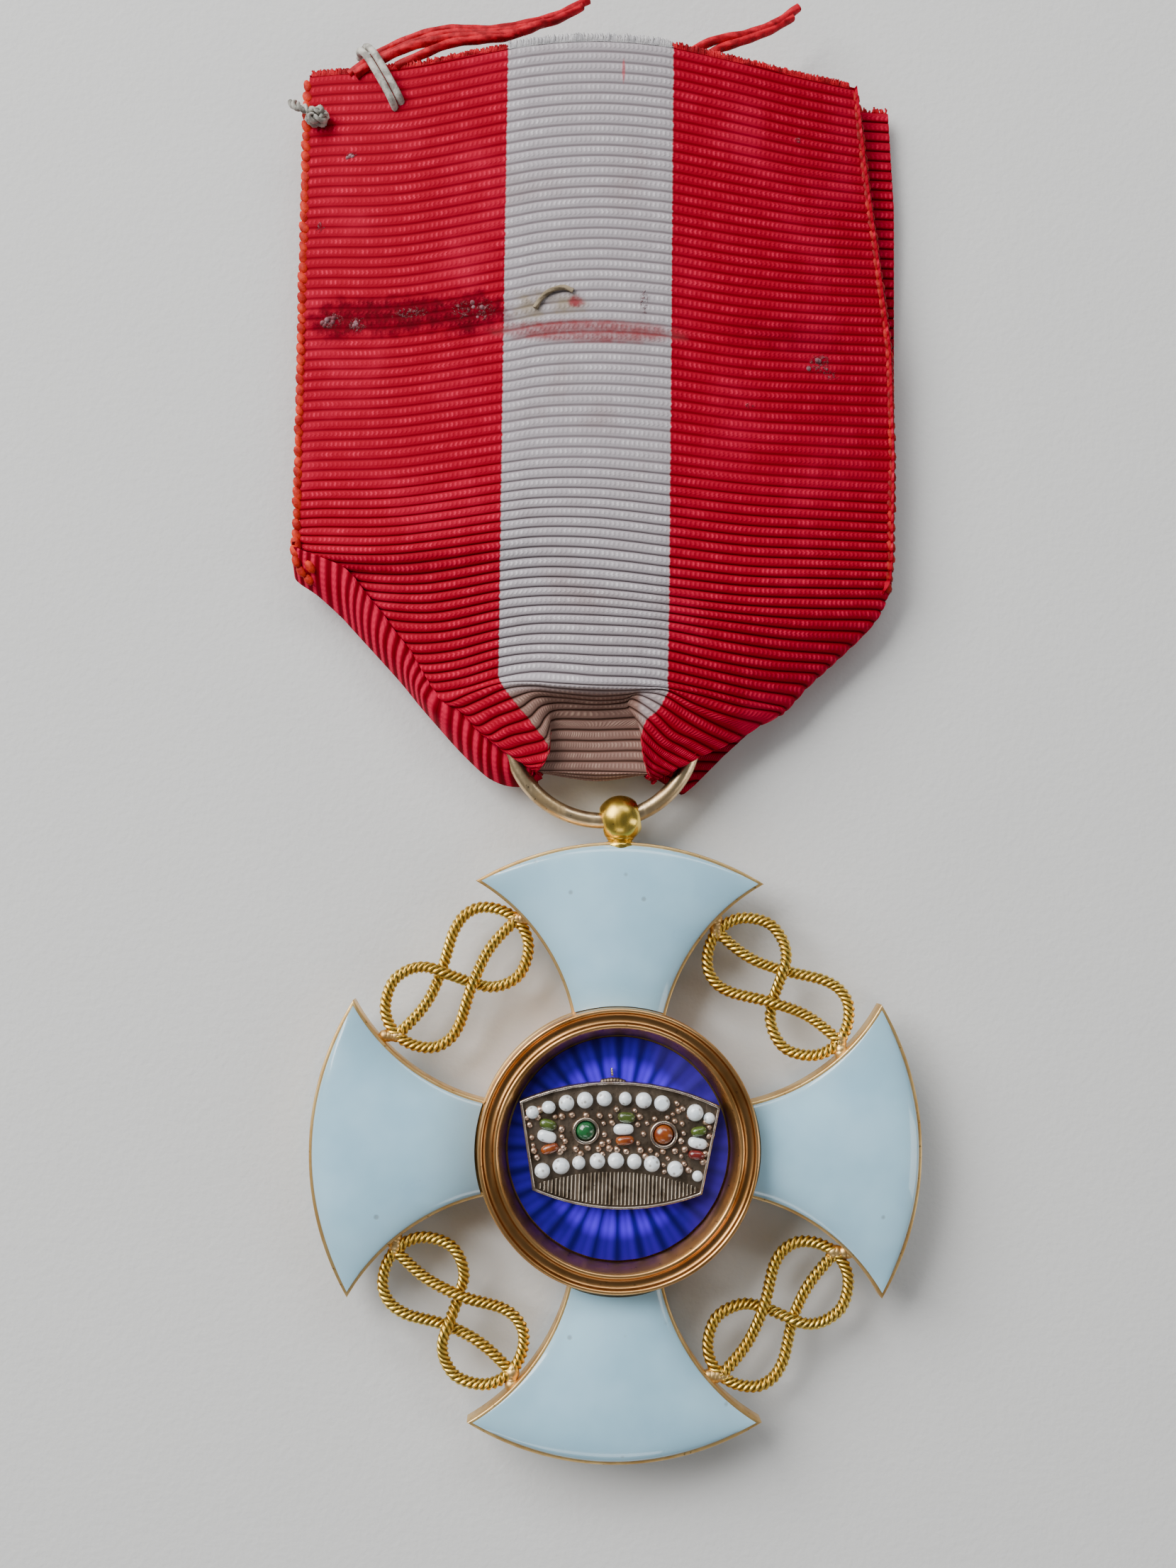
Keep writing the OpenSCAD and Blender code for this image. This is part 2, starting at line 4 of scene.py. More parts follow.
import bmesh
import bpy
import numpy as np
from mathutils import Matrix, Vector

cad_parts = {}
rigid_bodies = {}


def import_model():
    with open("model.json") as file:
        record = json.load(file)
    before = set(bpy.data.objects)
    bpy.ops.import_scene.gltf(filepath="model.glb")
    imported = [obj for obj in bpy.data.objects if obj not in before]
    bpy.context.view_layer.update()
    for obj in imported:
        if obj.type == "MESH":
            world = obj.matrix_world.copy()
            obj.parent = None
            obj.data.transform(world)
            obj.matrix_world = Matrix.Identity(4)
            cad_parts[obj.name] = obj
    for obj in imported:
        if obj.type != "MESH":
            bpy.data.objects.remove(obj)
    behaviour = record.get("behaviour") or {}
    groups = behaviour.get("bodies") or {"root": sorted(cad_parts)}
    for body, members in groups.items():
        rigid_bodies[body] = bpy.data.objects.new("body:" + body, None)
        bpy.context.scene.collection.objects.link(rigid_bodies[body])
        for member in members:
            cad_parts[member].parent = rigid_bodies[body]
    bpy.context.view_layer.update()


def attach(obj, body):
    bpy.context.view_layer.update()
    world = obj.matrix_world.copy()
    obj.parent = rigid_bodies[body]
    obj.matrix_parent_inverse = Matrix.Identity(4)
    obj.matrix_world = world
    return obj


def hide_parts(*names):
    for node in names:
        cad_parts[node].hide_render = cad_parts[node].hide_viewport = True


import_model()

# Tables are in millimetres from the middle of the cross, and height from the floor.
mm = 0.001
crossMiddle = np.array([0.9, -24.7, 0.0])
medalMiddle = np.array([0.0, 0.17, 0.0])


# Node trees: a Link is a socket that takes part in sums, and a Tree makes any node.
class Link:
    def __init__(self, tree, node, socket):
        self.tree, self.node, self.socket = tree, node, socket

    def of(self, output):
        return Link(self.tree, self.node, self.node.outputs[output])

    def maths(self, operation, first, second=None):
        values = {0: first} if second is None else {0: first, 1: second}
        return self.tree.node("ShaderNodeMath", {"operation": operation}, values)

    def __add__(self, other):
        return self.maths("ADD", self, other)

    def __sub__(self, other):
        return self.maths("SUBTRACT", self, other)

    def __rsub__(self, other):
        return self.maths("SUBTRACT", other, self)

    def __mul__(self, other):
        return self.maths("MULTIPLY", self, other)

    def __truediv__(self, other):
        return self.maths("DIVIDE", self, other)

    def __pow__(self, other):
        return self.maths("POWER", self, other)

    __radd__ = __add__
    __rmul__ = __mul__

    def sine(self):
        return self.maths("SINE", self)

    def size(self):
        return self.maths("ABSOLUTE", self)

    def fraction(self):
        return self.maths("FRACT", self)


class Tree:
    def __init__(self, nodeTree):
        self.nodeTree = nodeTree

    def node(self, kind, settings=None, values=None):
        made = self.nodeTree.nodes.new(kind)
        for key, value in (settings or {}).items():
            if key == "stops":
                ramp = made.color_ramp
                while len(ramp.elements) < len(value):
                    ramp.elements.new(1.0)
                for element, (position, colour) in zip(ramp.elements, value):
                    element.position, element.color = position, (*colour, 1.0)
            else:
                setattr(made, key, value)
        for key, value in (values or {}).items():
            socket = made.inputs[key]
            if isinstance(value, Link):
                self.nodeTree.links.new(value.socket, socket)
            elif socket.type == "RGBA" and len(value) == 3:
                socket.default_value = (*value, 1.0)
            else:
                socket.default_value = value
        shown = [output for output in made.outputs if output.enabled]
        return Link(self, made, shown[0] if shown else None)

    def mix(self, factor, first, second):
        return self.node("ShaderNodeMix", {"data_type": "RGBA"}, {0: factor, 6: first, 7: second}).of(2)

    def layered(self, colour, *layers):  # each layer is how much of it shows, and its colour
        for share, over in layers:
            colour = self.mix(share, colour, over)
        return colour

    def ease(self, value, low, high):  # 0 at low, 1 at high, smooth between
        values = {"Value": value, "From Min": low, "From Max": high}
        return self.node("ShaderNodeMapRange", {"interpolation_type": "SMOOTHSTEP"}, values)

    def noise(self, vector, scale, detail=3.0, roughness=0.55, dimensions="3D"):
        values = {"Vector": vector, "Scale": scale, "Detail": detail, "Roughness": roughness}
        return self.node("ShaderNodeTexNoise", {"noise_dimensions": dimensions}, values)

    def cells(self, vector, scale, feature="F1"):
        return self.node("ShaderNodeTexVoronoi", {"feature": feature}, {"Vector": vector, "Scale": scale})

    def larger(self, first, second):
        return self.node("ShaderNodeMath", {"operation": "MAXIMUM"}, {0: first, 1: second})

    def vector(self, operation, first, second=None):
        values = {0: first} if second is None else {0: first, 1: second}
        return self.node("ShaderNodeVectorMath", {"operation": operation}, values)

    def length(self, vector):
        return self.vector("LENGTH", vector).of("Value")

    def apart(self, vector):
        return self.node("ShaderNodeSeparateXYZ", {}, {0: vector})

    def together(self, x=0.0, y=0.0, z=0.0):
        return self.node("ShaderNodeCombineXYZ", {}, {0: x, 1: y, 2: z})

    def objectPlace(self):
        return self.node("ShaderNodeTexCoord").of("Object")

    def bump(self, height, distance):
        return self.node("ShaderNodeBump", {}, {"Height": height, "Distance": distance, "Strength": 1.0})

    def stretch(self, vector, scale, shift=(0.0, 0.0, 0.0), turn=(0.0, 0.0, 0.0)):
        values = {"Vector": vector, "Scale": scale, "Location": shift, "Rotation": turn}
        return self.node("ShaderNodeMapping", {}, values)


def newMaterial(name):
    material = bpy.data.materials.new(name)
    material.use_nodes = True
    material.node_tree.nodes.clear()
    return material, Tree(material.node_tree)


def shadeWith(tree, values):
    shader = tree.node("ShaderNodeBsdfPrincipled", {}, values)
    tree.node("ShaderNodeOutputMaterial", {}, {"Surface": shader})


def metalFinish(name, look):
    material, tree = newMaterial(name)
    place = tree.objectPlace()
    cloud = tree.noise(place, look["cloud"], 4.0)
    grain = tree.noise(place, look["grain"], 2.0)
    scratch = tree.noise(tree.stretch(place, (1.0, 0.08, 1.0), turn=(0.3, 0.2, 0.6)), look["scratch"], 2.0)
    wear = tree.ease(cloud, 0.4, 0.68)
    speck = tree.ease(grain, 0.66, 0.74) * look["specks"]
    colour = tree.layered(look["bright"], (wear, look["dull"]), (speck, look["dirt"]))
    if "valleyShade" in look:  # wound wire keeps how far a point is out of the valley, and the valleys take a painted shade
        ridge = tree.node("ShaderNodeAttribute", {"attribute_name": "ridge"}).of("Fac")
        colour = tree.mix(tree.ease(ridge, 0.0, 0.62), look["valleyShade"], colour)
    if "groove" in look:  # patina kept in a turned groove
        gap = tree.apart(tree.vector("SUBTRACT", place, tuple((crossMiddle + medalMiddle) * mm)))
        far = tree.length(tree.together(gap.of("X"), gap.of("Y"))) / mm
        radius, half, lowest, share = (look["groove"][key] for key in ("radius", "half", "lowest", "share"))
        within = 1 - tree.ease((far - radius).size(), half * 0.4, half)
        kept = within * tree.ease(gap.of("Z") / mm, lowest, lowest + 0.3)
        colour = tree.mix(kept * share, colour, look["patina"])
    rough = look["rough"] + wear * look["roughWear"] + tree.ease(scratch, 0.5, 0.75) * look["roughWear"]
    shadeWith(tree, {
        "Base Color": colour, "Roughness": rough, "Metallic": 1.0,
        "Normal": tree.bump(grain * 0.6 + scratch * 0.4, look["bump"]),
    })
    return material


goldWear = {
    "dirt": (0.16, 0.09, 0.03), "specks": 0.7, "cloud": 420.0, "grain": 4200.0, "scratch": 2600.0,
    "bump": 0.000004,
}
silverWear = {"cloud": 900.0, "grain": 5200.0, "scratch": 4200.0, "bump": 0.00003}
metalLooks = {
    "polishedGold": {
        **goldWear, "bright": (0.95, 0.68, 0.14), "dull": (0.7, 0.45, 0.07), "rough": 0.2, "roughWear": 0.1,
    },
    "plateGold": {
        **goldWear, "bright": (0.84, 0.57, 0.24), "dull": (0.6, 0.36, 0.13), "rough": 0.4, "roughWear": 0.08,
    },
    # its valley colour is a painted shade between the wound ridges
    "wireGold": {
        **goldWear, "bright": (0.92, 0.64, 0.13), "dull": (0.76, 0.48, 0.08), "valleyShade": (0.2, 0.1, 0.012),
        "specks": 0.6, "rough": 0.31, "roughWear": 0.08, "bump": 0.000003,
    },
    "roseGold": {
        "bright": (0.78, 0.42, 0.16), "dull": (0.45, 0.22, 0.065), "dirt": (0.12, 0.05, 0.03), "specks": 0.6,
        "groove": {"radius": 7.8, "half": 0.38, "lowest": 4.2, "share": 0.6}, "patina": (0.22, 0.09, 0.025),
        "cloud": 260.0, "grain": 3400.0, "scratch": 1900.0, "rough": 0.3, "roughWear": 0.05, "bump": 0.000002,
    },
    "dullBronze": {
        "bright": (0.78, 0.57, 0.33), "dull": (0.54, 0.37, 0.19), "dirt": (0.12, 0.08, 0.05), "specks": 0.8,
        "cloud": 500.0, "grain": 2900.0, "scratch": 2300.0, "rough": 0.3, "roughWear": 0.12, "bump": 0.00002,
    },
    "paleSilver": {
        **silverWear, "bright": (0.6, 0.5, 0.42), "dull": (0.34, 0.26, 0.2), "dirt": (0.1, 0.07, 0.05),
        "specks": 0.8, "rough": 0.24, "roughWear": 0.15, "cloud": 1400.0, "bump": 0.00001,
    },
    "darkSilver": {
        **silverWear, "bright": (0.24, 0.18, 0.13), "dull": (0.09, 0.065, 0.045), "dirt": (0.03, 0.02, 0.015),
        "specks": 0.9, "rough": 0.42, "roughWear": 0.15,
    },
    "grainSilver": {
        **silverWear, "bright": (0.64, 0.46, 0.35), "dull": (0.42, 0.27, 0.18), "dirt": (0.1, 0.06, 0.04),
        "specks": 0.6, "rough": 0.34, "roughWear": 0.12, "cloud": 1400.0, "bump": 0.000006,
    },
    "tarnishedSilver": {
        **silverWear, "bright": (0.62, 0.53, 0.42), "dull": (0.26, 0.2, 0.14), "dirt": (0.05, 0.04, 0.03),
        "specks": 0.9, "rough": 0.3, "roughWear": 0.2,
    },
}
metals = {name: metalFinish(name, look) for name, look in metalLooks.items()}


def glassFinish(name, look):  # enamel and stones: a coloured body under a clear coat
    material, tree = newMaterial(name)
    place = tree.objectPlace()
    cloud = tree.noise(place, look["cloud"], 3.0)
    fine = tree.noise(place, look["cloud"] * 9.0, 2.0)
    pits = tree.ease(tree.cells(place, look["pits"]), look["pitSize"], look["pitSize"] * 0.4)
    colour = tree.mix(tree.ease(cloud, 0.3, 0.7), look["light"], look["deep"])
    if "neck" in look:  # greyer by the rims, where the enamel is thinner and a painted shade also darkens them, and a painted shade on the left arm towards the middle
        gap = tree.vector("SUBTRACT", place, tuple(crossMiddle * mm))
        far, gap = tree.length(gap) / mm, tree.apart(gap)
        thinRimGreyAndShade = 1 - tree.ease((gap.of("Z") / mm - 2.5).size(), 0.8, 1.3)
        leftArmShade = (1 - tree.ease(far, 8.4, 13.5)) * (1 - tree.ease(gap.of("X") / mm, -7.5, -5.5))
        colour = tree.mix(tree.larger(leftArmShade * 0.85, thinRimGreyAndShade * 0.3), colour, look["neck"])
    colour = tree.mix(pits * look["pitDepth"], colour, look["dirt"])
    shadeWith(tree, {
        "Base Color": colour, "Roughness": 0.2 + cloud * 0.12, "IOR": 1.52, "Coat Weight": 1.0,
        "Coat Roughness": look["coat"],
        "Normal": tree.bump(cloud * 0.7 + fine * 0.3 - pits * 0.4, look["bump"]),
    })
    return material


stoneGlass = {"cloud": 1300.0, "pits": 2300.0, "pitSize": 0.2, "pitDepth": 0.6, "coat": 0.22, "bump": 0.00002}
glassLooks = {
    "whiteEnamel": {
        "light": (0.46, 0.75, 0.91), "deep": (0.35, 0.62, 0.78), "dirt": (0.2, 0.19, 0.17), "cloud": 160.0,
        # the neck colour is both the grey of thin enamel and painted shade
        "neck": (0.21, 0.29, 0.33), "pits": 420.0, "pitSize": 0.09, "pitDepth": 0.5, "coat": 0.05,
        "bump": 0.00003,
    },
    "beadEnamel": {
        "light": (0.94, 0.96, 0.97), "deep": (0.76, 0.82, 0.87), "dirt": (0.3, 0.27, 0.23), "cloud": 1500.0,
        "pits": 2300.0, "pitSize": 0.27, "pitDepth": 0.8, "coat": 0.1, "bump": 0.00002,
    },
    "greenGlass": {
        **stoneGlass, "light": (0.012, 0.13, 0.03), "deep": (0.004, 0.055, 0.018), "dirt": (0.02, 0.05, 0.01),
        "coat": 0.08,
    },
    "oliveGlass": {
        **stoneGlass, "light": (0.075, 0.12, 0.012), "deep": (0.04, 0.055, 0.008), "dirt": (0.05, 0.03, 0.01),
        "coat": 0.25,
    },
    "redGlass": {
        **stoneGlass, "light": (0.32, 0.07, 0.003), "deep": (0.17, 0.022, 0.002), "dirt": (0.1, 0.02, 0.01),
    },
    "crimsonGlass": {
        **stoneGlass, "light": (0.2, 0.012, 0.008), "deep": (0.1, 0.006, 0.005), "dirt": (0.05, 0.01, 0.01),
    },
}
glasses = {name: glassFinish(name, look) for name, look in glassLooks.items()}

discLook = {
    "rays": 28, "light": (0.085, 0.0, 1.0), "deep": (0.014, 0.0, 0.22), "shade": (0.004, 0.001, 0.05),
    "haze": (0.07, 0.04, 0.34), "radius": 6.6, "floor": 3.5, "top": 3.85, "flute": 0.08,
    "rings": [0.25, 1.2, 2.2, 3.2, 4.2, 5.2, 6.0, 6.6], "fullFlute": 4.5, "stepsPerRay": 8,
}


def blueFinish():
    material, tree = newMaterial("cobaltEnamel")
    place = tree.objectPlace()
    local = tree.vector("ADD", place, tuple(-(crossMiddle + medalMiddle) * mm))
    gap = tree.apart(local)
    x, y, far = gap.of("X") / mm, gap.of("Y") / mm, tree.length(local) / mm
    angle = gap.maths("ARCTAN2", gap.of("Y"), gap.of("X")) / (2 * math.pi)

    def rays(count):  # 0 along the middle of each ray, 1 between two
        return (((angle * float(count) + 100.0).fraction() - 0.5) * 2.0).size()

    wobble = (tree.noise(local, 260.0, 2.0) - 0.5) * 0.5
    light = 1 - tree.ease(rays(discLook["rays"]) + wobble, 0.5, 0.98)
    light = light * (0.72 + rays(3 * discLook["rays"]) * 0.28)
    # painted shadow of the bezel round the disc's edge, reaching further in at the left and right; the same
    # dark colour also clouds the blue at random
    edge = tree.ease(far + (1 - tree.ease(y.size(), 2.0, 5.5)) * 0.3, 6.1, 6.75)
    # greyer and flatter in tone towards the right
    haze = tree.ease(x + y * 0.25, 2.2, 5.2)
    cloud = tree.noise(place, 420.0, 3.0)
    colour = tree.layered(
        discLook["deep"], (light, discLook["light"]), (edge * 0.75, discLook["shade"]),
        (haze * 0.42, discLook["haze"]), (tree.ease(cloud, 0.5, 0.75) * 0.3, discLook["shade"]),
    )
    shadeWith(tree, {
        "Base Color": colour, "Roughness": 0.4 + cloud * 0.15, "Specular IOR Level": 0.06, "Coat Weight": 0.2,
        "Coat Roughness": 0.08, "Normal": tree.bump(cloud, 0.00002),
    })
    return material


cobalt = blueFinish()


def newObject(name, data):
    made = bpy.data.objects.new(name, data)
    bpy.context.collection.objects.link(made)
    return made


def newMesh(name, points, edges, faces):  # from points as the tables give them
    mesh = bpy.data.meshes.new(name)
    mesh.from_pydata(((np.asarray(points, float) + crossMiddle) * mm).tolist(), edges, faces)
    return mesh


def addPiece(name, points, faces, material, slotName, nodes=(), sharp=40.0, clothMap=None):
    mesh = newMesh(name, points, [], faces)
    if clothMap is None:
        shell = bmesh.new()
        shell.from_mesh(mesh)
        bmesh.ops.remove_doubles(shell, verts=shell.verts, dist=0.000001)
        bmesh.ops.recalc_face_normals(shell, faces=shell.faces)
        shell.to_mesh(mesh)
        shell.free()
    else:
        layer = mesh.uv_layers.new(name="clothMap")
        corners = np.empty(len(mesh.loops), np.int32)
        mesh.loops.foreach_get("vertex_index", corners)
        layer.data.foreach_set("uv", np.asarray(clothMap, np.float32)[corners].ravel())
    mesh.polygons.foreach_set("use_smooth", [True] * len(mesh.polygons))
    mesh.set_sharp_from_angle(angle=math.radians(sharp))
    mesh.materials.append(material)
    return settle(newObject(name, mesh), nodes)


def settle(piece, nodes=()):
    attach(piece, "root")
    if nodes:
        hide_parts(*nodes)
    return piece


def gridFaces(rows, columns, start=0, wrap=False):
    faces = []
    for i in range(rows - 1):
        for j in range(columns if wrap else columns - 1):
            k = (j + 1) % columns
            a, b = start + i * columns, start + (i + 1) * columns
            faces.append((a + j, a + k, b + k, b + j))
    return faces


def gridRim(rows, columns):  # the pairs of neighbours round a grid's edge
    rim = list(range(columns)) + [i * columns + columns - 1 for i in range(1, rows)]
    rim += [(rows - 1) * columns + j for j in range(columns - 2, -1, -1)]
    rim += [i * columns for i in range(rows - 2, 0, -1)]
    return list(zip(rim, rim[1:] + rim[:1]))


def joined(*shapes):
    points, faces = [], []
    for shapePoints, shapeFaces in shapes:
        faces += [tuple(k + len(points) for k in face) for face in shapeFaces]
        points += [tuple(p) for p in shapePoints]
    return points, faces


# A turned shape: profile points are (radius, height), closed on itself or ending on the axis.
def lathe(profile, steps, closed=True):
    rows = list(profile) + ([profile[0]] if closed else [])
    turns = np.linspace(0, 2 * math.pi, steps, endpoint=False)
    points = [(r * math.cos(a), r * math.sin(a), z) for r, z in rows for a in turns]
    return points, gridFaces(len(rows), steps, wrap=True)


def moved(shape, shift=(0, 0, 0), turn=None):
    points = np.asarray(shape[0], float)
    if turn is not None:
        points = points @ np.asarray(turn).T
    return points + np.asarray(shift), shape[1]


def turnZ(degrees):
    c, s = math.cos(math.radians(degrees)), math.sin(math.radians(degrees))
    return np.array([[c, -s, 0], [s, c, 0], [0, 0, 1]])


def arcPoints(middle, radius, start, end, steps):
    return [
        (middle[0] + radius * math.cos(math.radians(a)), middle[1] + radius * math.sin(math.radians(a)))
        for a in np.linspace(start, end, steps)
    ]


# Value of a smooth curve through (xs, ys) at x. ys may hold points.
def smoothLine(xs, ys, x):
    xs, ys = np.asarray(xs, float), np.asarray(ys, float)
    slopes = np.empty_like(ys)
    widths = np.diff(xs).reshape(-1, *[1] * (ys.ndim - 1))
    steps = np.diff(ys, axis=0) / widths
    slopes[1:-1] = (steps[:-1] * widths[1:] + steps[1:] * widths[:-1]) / (widths[1:] + widths[:-1])
    slopes[0], slopes[-1] = steps[0], steps[-1]
    x = np.asarray(x, float)
    i = np.clip(np.searchsorted(xs, x) - 1, 0, len(xs) - 2)
    shape = (-1, *[1] * (ys.ndim - 1))
    width = (xs[i + 1] - xs[i]).reshape(shape)
    t = np.clip((x - xs[i]).reshape(shape) / width, -0.5, 1.5)
    a, b = ys[i], ys[i + 1]
    blend = t * t * (3 - 2 * t)
    inside = a + (b - a) * blend + width * t * (1 - t) * ((1 - t) * slopes[i] - t * slopes[i + 1])
    before, after = a + t * width * slopes[i], b + (t - 1) * width * slopes[i + 1]
    return np.where(t < 0, before, np.where(t > 1, after, inside))


# Geometry Nodes: a group with a mesh input that carries points or lines, named sizes and one material.
def newGroup(name, sizes):
    group = bpy.data.node_groups.new(name, "GeometryNodeTree")
    group.interface.new_socket("Geometry", in_out="INPUT", socket_type="NodeSocketGeometry")
    for key in sizes:
        group.interface.new_socket(key, in_out="INPUT", socket_type="NodeSocketFloat")
    group.interface.new_socket("Finish", in_out="INPUT", socket_type="NodeSocketMaterial")
    group.interface.new_socket("Geometry", in_out="OUTPUT", socket_type="NodeSocketGeometry")
    tree = Tree(group)
    return group, tree, tree.node("NodeGroupInput")


def closeGroup(tree, given, geometry):
    real = tree.node("GeometryNodeRealizeInstances", {}, {"Geometry": geometry})
    smooth = tree.node("GeometryNodeSetShadeSmooth", {}, {"Geometry": real})
    done = tree.node("GeometryNodeSetMaterial", {}, {"Geometry": smooth, "Material": given.of("Finish")})
    tree.node("NodeGroupOutput", {}, {0: done})


def grow(name, group, points, edges, sizes, material, slotName, nodes=()):
    carrier = newObject(name + "Path", newMesh(name + "Path", points, edges, []))
    modifier = carrier.modifiers.new("grow", "NODES")
    modifier.node_group = group
    values = dict(sizes, Finish=material)
    for item in group.interface.items_tree:
        if item.in_out == "INPUT" and item.name in values:
            modifier[item.identifier] = values[item.name]
    seen = carrier.evaluated_get(bpy.context.evaluated_depsgraph_get())
    mesh = bpy.data.meshes.new_from_object(seen)
    mesh.name = name
    bpy.data.objects.remove(carrier)
    mesh.materials.clear()
    mesh.materials.append(material)
    return settle(newObject(name, mesh), nodes)


def growOnRibbon(name, group, points, edges, sizes, material):
    return grow(name, group, points, edges, sizes, material, "ribbon", ["ribbon"])


def chain(count, start=0):
    return [(start + k, start + k + 1) for k in range(count - 1)]


def carriedLines(tree, given):
    return tree.node("GeometryNodeMeshToCurve", {}, {"Mesh": given.of("Geometry")})


def woundCurve(tree, given):  # the carrier's lines in even steps, tilted so that a profile winds round them
    curve = tree.node("GeometryNodeSetCurveNormal", {"mode": "Z_UP"}, {"Curve": carriedLines(tree, given)})
    values = {"Curve": curve, "Length": given.of("Step")}
    curve = tree.node("GeometryNodeResampleCurve", {"mode": "LENGTH"}, values)
    tilt = tree.node("GeometryNodeSplineParameter").of("Length") / given.of("Turn") * (2 * math.pi)
    return tree.node("GeometryNodeSetCurveTilt", {}, {"Curve": curve, "Tilt": tilt})


def spaced(tree, given, mode, key):  # points along the carrier's lines, by their number or their pitch
    values = {"Curve": carriedLines(tree, given), mode.title(): given.of(key)}
    return tree.node("GeometryNodeCurveToPoints", {"mode": mode}, values)


def circleOf(tree, steps, radius):
    return tree.node("GeometryNodeCurvePrimitiveCircle", {}, {"Resolution": steps, "Radius": radius})


def swept(tree, curve, profile):
    values = {"Curve": curve, "Profile Curve": profile, "Fill Caps": True}
    return tree.node("GeometryNodeCurveToMesh", {}, values)


def randomNumber(tree, low, high, seed):
    values = {2: low, 3: high, "Seed": seed}
    return tree.node("FunctionNodeRandomValue", {"data_type": "FLOAT"}, values).of(1)


def randomVector(tree, low, high, seed):
    values = {0: low, 1: high, "Seed": seed}
    return tree.node("FunctionNodeRandomValue", {"data_type": "FLOAT_VECTOR"}, values)


def onPoints(tree, points, shape, size, turn=None):
    values = {"Points": points, "Instance": shape, "Scale": size}
    if turn is not None:
        values["Rotation"] = turn
    return tree.node("GeometryNodeInstanceOnPoints", {}, values)


# Strands laid round each other along a path: the profile is two circles, and the tilt winds them.
def twistGroup():
    group, tree, given = newGroup("twistedStrands", ["Step", "Strand", "Apart", "Turn"])
    circle = circleOf(tree, 8, given.of("Strand"))
    strands = tree.node("GeometryNodeJoinGeometry")
    for side in (1.0, -1.0):
        shift = tree.together(given.of("Apart") * side)
        one = tree.node("GeometryNodeTransform", {}, {"Geometry": circle, "Translation": shift})
        tree.nodeTree.links.new(one.socket, strands.node.inputs[0])
    closeGroup(tree, given, swept(tree, woundCurve(tree, given), strands))
    return group


# A rope with ridges wound round it, or a plain round wire where Ridge and Valley are the same.
def ropeGroup():
    group, tree, given = newGroup("woundRope", ["Step", "Ridge", "Valley", "Turn"])
    inner, outer = given.of("Valley"), given.of("Ridge")
    star = tree.node("GeometryNodeCurveStar", {}, {"Points": 4, "Inner Radius": inner, "Outer Radius": outer})
    star = tree.node("GeometryNodeCurveSplineType", {"spline_type": "CATMULL_ROM"}, {"Curve": star})
    star = tree.node("GeometryNodeResampleCurve", {"mode": "COUNT"}, {"Curve": star, "Count": 20})
    ridge = (tree.length(tree.node("GeometryNodeInputPosition")) - inner) / (outer - inner)
    values = {"Geometry": star, "Name": "ridge", "Value": ridge}
    profile = tree.node("GeometryNodeStoreNamedAttribute", {}, values)
    closeGroup(tree, given, swept(tree, woundCurve(tree, given), profile))
    return group


# Small beads on every point of a mesh, each with its own size.
def grainGroup():
    group, tree, given = newGroup("grains", ["Radius", "Spread"])
    ball = tree.node("GeometryNodeMeshIcoSphere", {}, {"Radius": given.of("Radius"), "Subdivisions": 2})
    size = randomNumber(tree, 1.0 - given.of("Spread"), 1.0 + given.of("Spread"), 11)
    points = tree.node("GeometryNodeMeshToPoints", {}, {"Mesh": given.of("Geometry")})
    closeGroup(tree, given, onPoints(tree, points, ball, size))
    return group


# Loops of the selvedge: flattened beads spaced evenly along an edge.
def picotGroup():
    group, tree, given = newGroup("picots", ["Pitch", "Radius"])
    values = {"Segments": 10, "Rings": 7, "Radius": given.of("Radius")}
    loop = tree.node("GeometryNodeMeshUVSphere", {}, values)
    turn = randomVector(tree, (-0.2, -0.3, 0.2), (0.2, 0.3, 0.65), 3)
    size = randomVector(tree, (0.75, 1.2, 0.55), (0.95, 1.5, 0.75), 5)
    closeGroup(tree, given, onPoints(tree, spaced(tree, given, "LENGTH", "Pitch"), loop, size, turn))
    return group


# Frayed ends: short bent fibres that start on a line and point up along +Y.
def frayGroup():
    group, tree, given = newGroup("frayedEnds", ["Count", "Length", "Thickness", "Lean"])
    length, lean = given.of("Length"), given.of("Lean")
    bent = tree.together(length * 0.12, length * 0.6, length * 0.2)
    tip = tree.together(length * -0.1, length)
    values = {"Resolution": 5, "Start": (0.0, 0.0, 0.0), "Middle": bent, "End": tip}
    fibre = tree.node("GeometryNodeCurveQuadraticBezier", {}, values)
    spread, lift = randomNumber(tree, lean * -1.0, lean, 21), randomNumber(tree, -0.35, 0.4, 22)
    turn, size = tree.together(lift, spread * 2.0, spread), randomNumber(tree, 0.3, 1.0, 23)
    placed = onPoints(tree, spaced(tree, given, "COUNT", "Count"), fibre, size, turn)
    real = tree.node("GeometryNodeRealizeInstances", {}, {"Geometry": placed})
    closeGroup(tree, given, swept(tree, real, circleOf(tree, 4, given.of("Thickness"))))
    return group


twisted, rope, grains, picots, frayed = twistGroup(), ropeGroup(), grainGroup(), picotGroup(), frayGroup()

print("camera, floor and light")
cameraLook = {
    "place": (-4.67, -9.32, 98.3), "turn": (3.97, -2.17, 0.68), "lens": 35.8, "sensor": 36.0, "near": 0.002,
}
camera = newObject("camera", bpy.data.cameras.new("camera"))
camera.data.lens = cameraLook["lens"]
camera.data.sensor_width = cameraLook["sensor"]
camera.data.clip_start = cameraLook["near"]
camera.location = [c * mm for c in cameraLook["place"]]
camera.rotation_euler = [math.radians(a) for a in cameraLook["turn"]]
bpy.context.scene.camera = camera

floorLook = {"size": 0.9, "pale": (0.74, 0.73, 0.71), "soft": (0.7, 0.69, 0.675)}


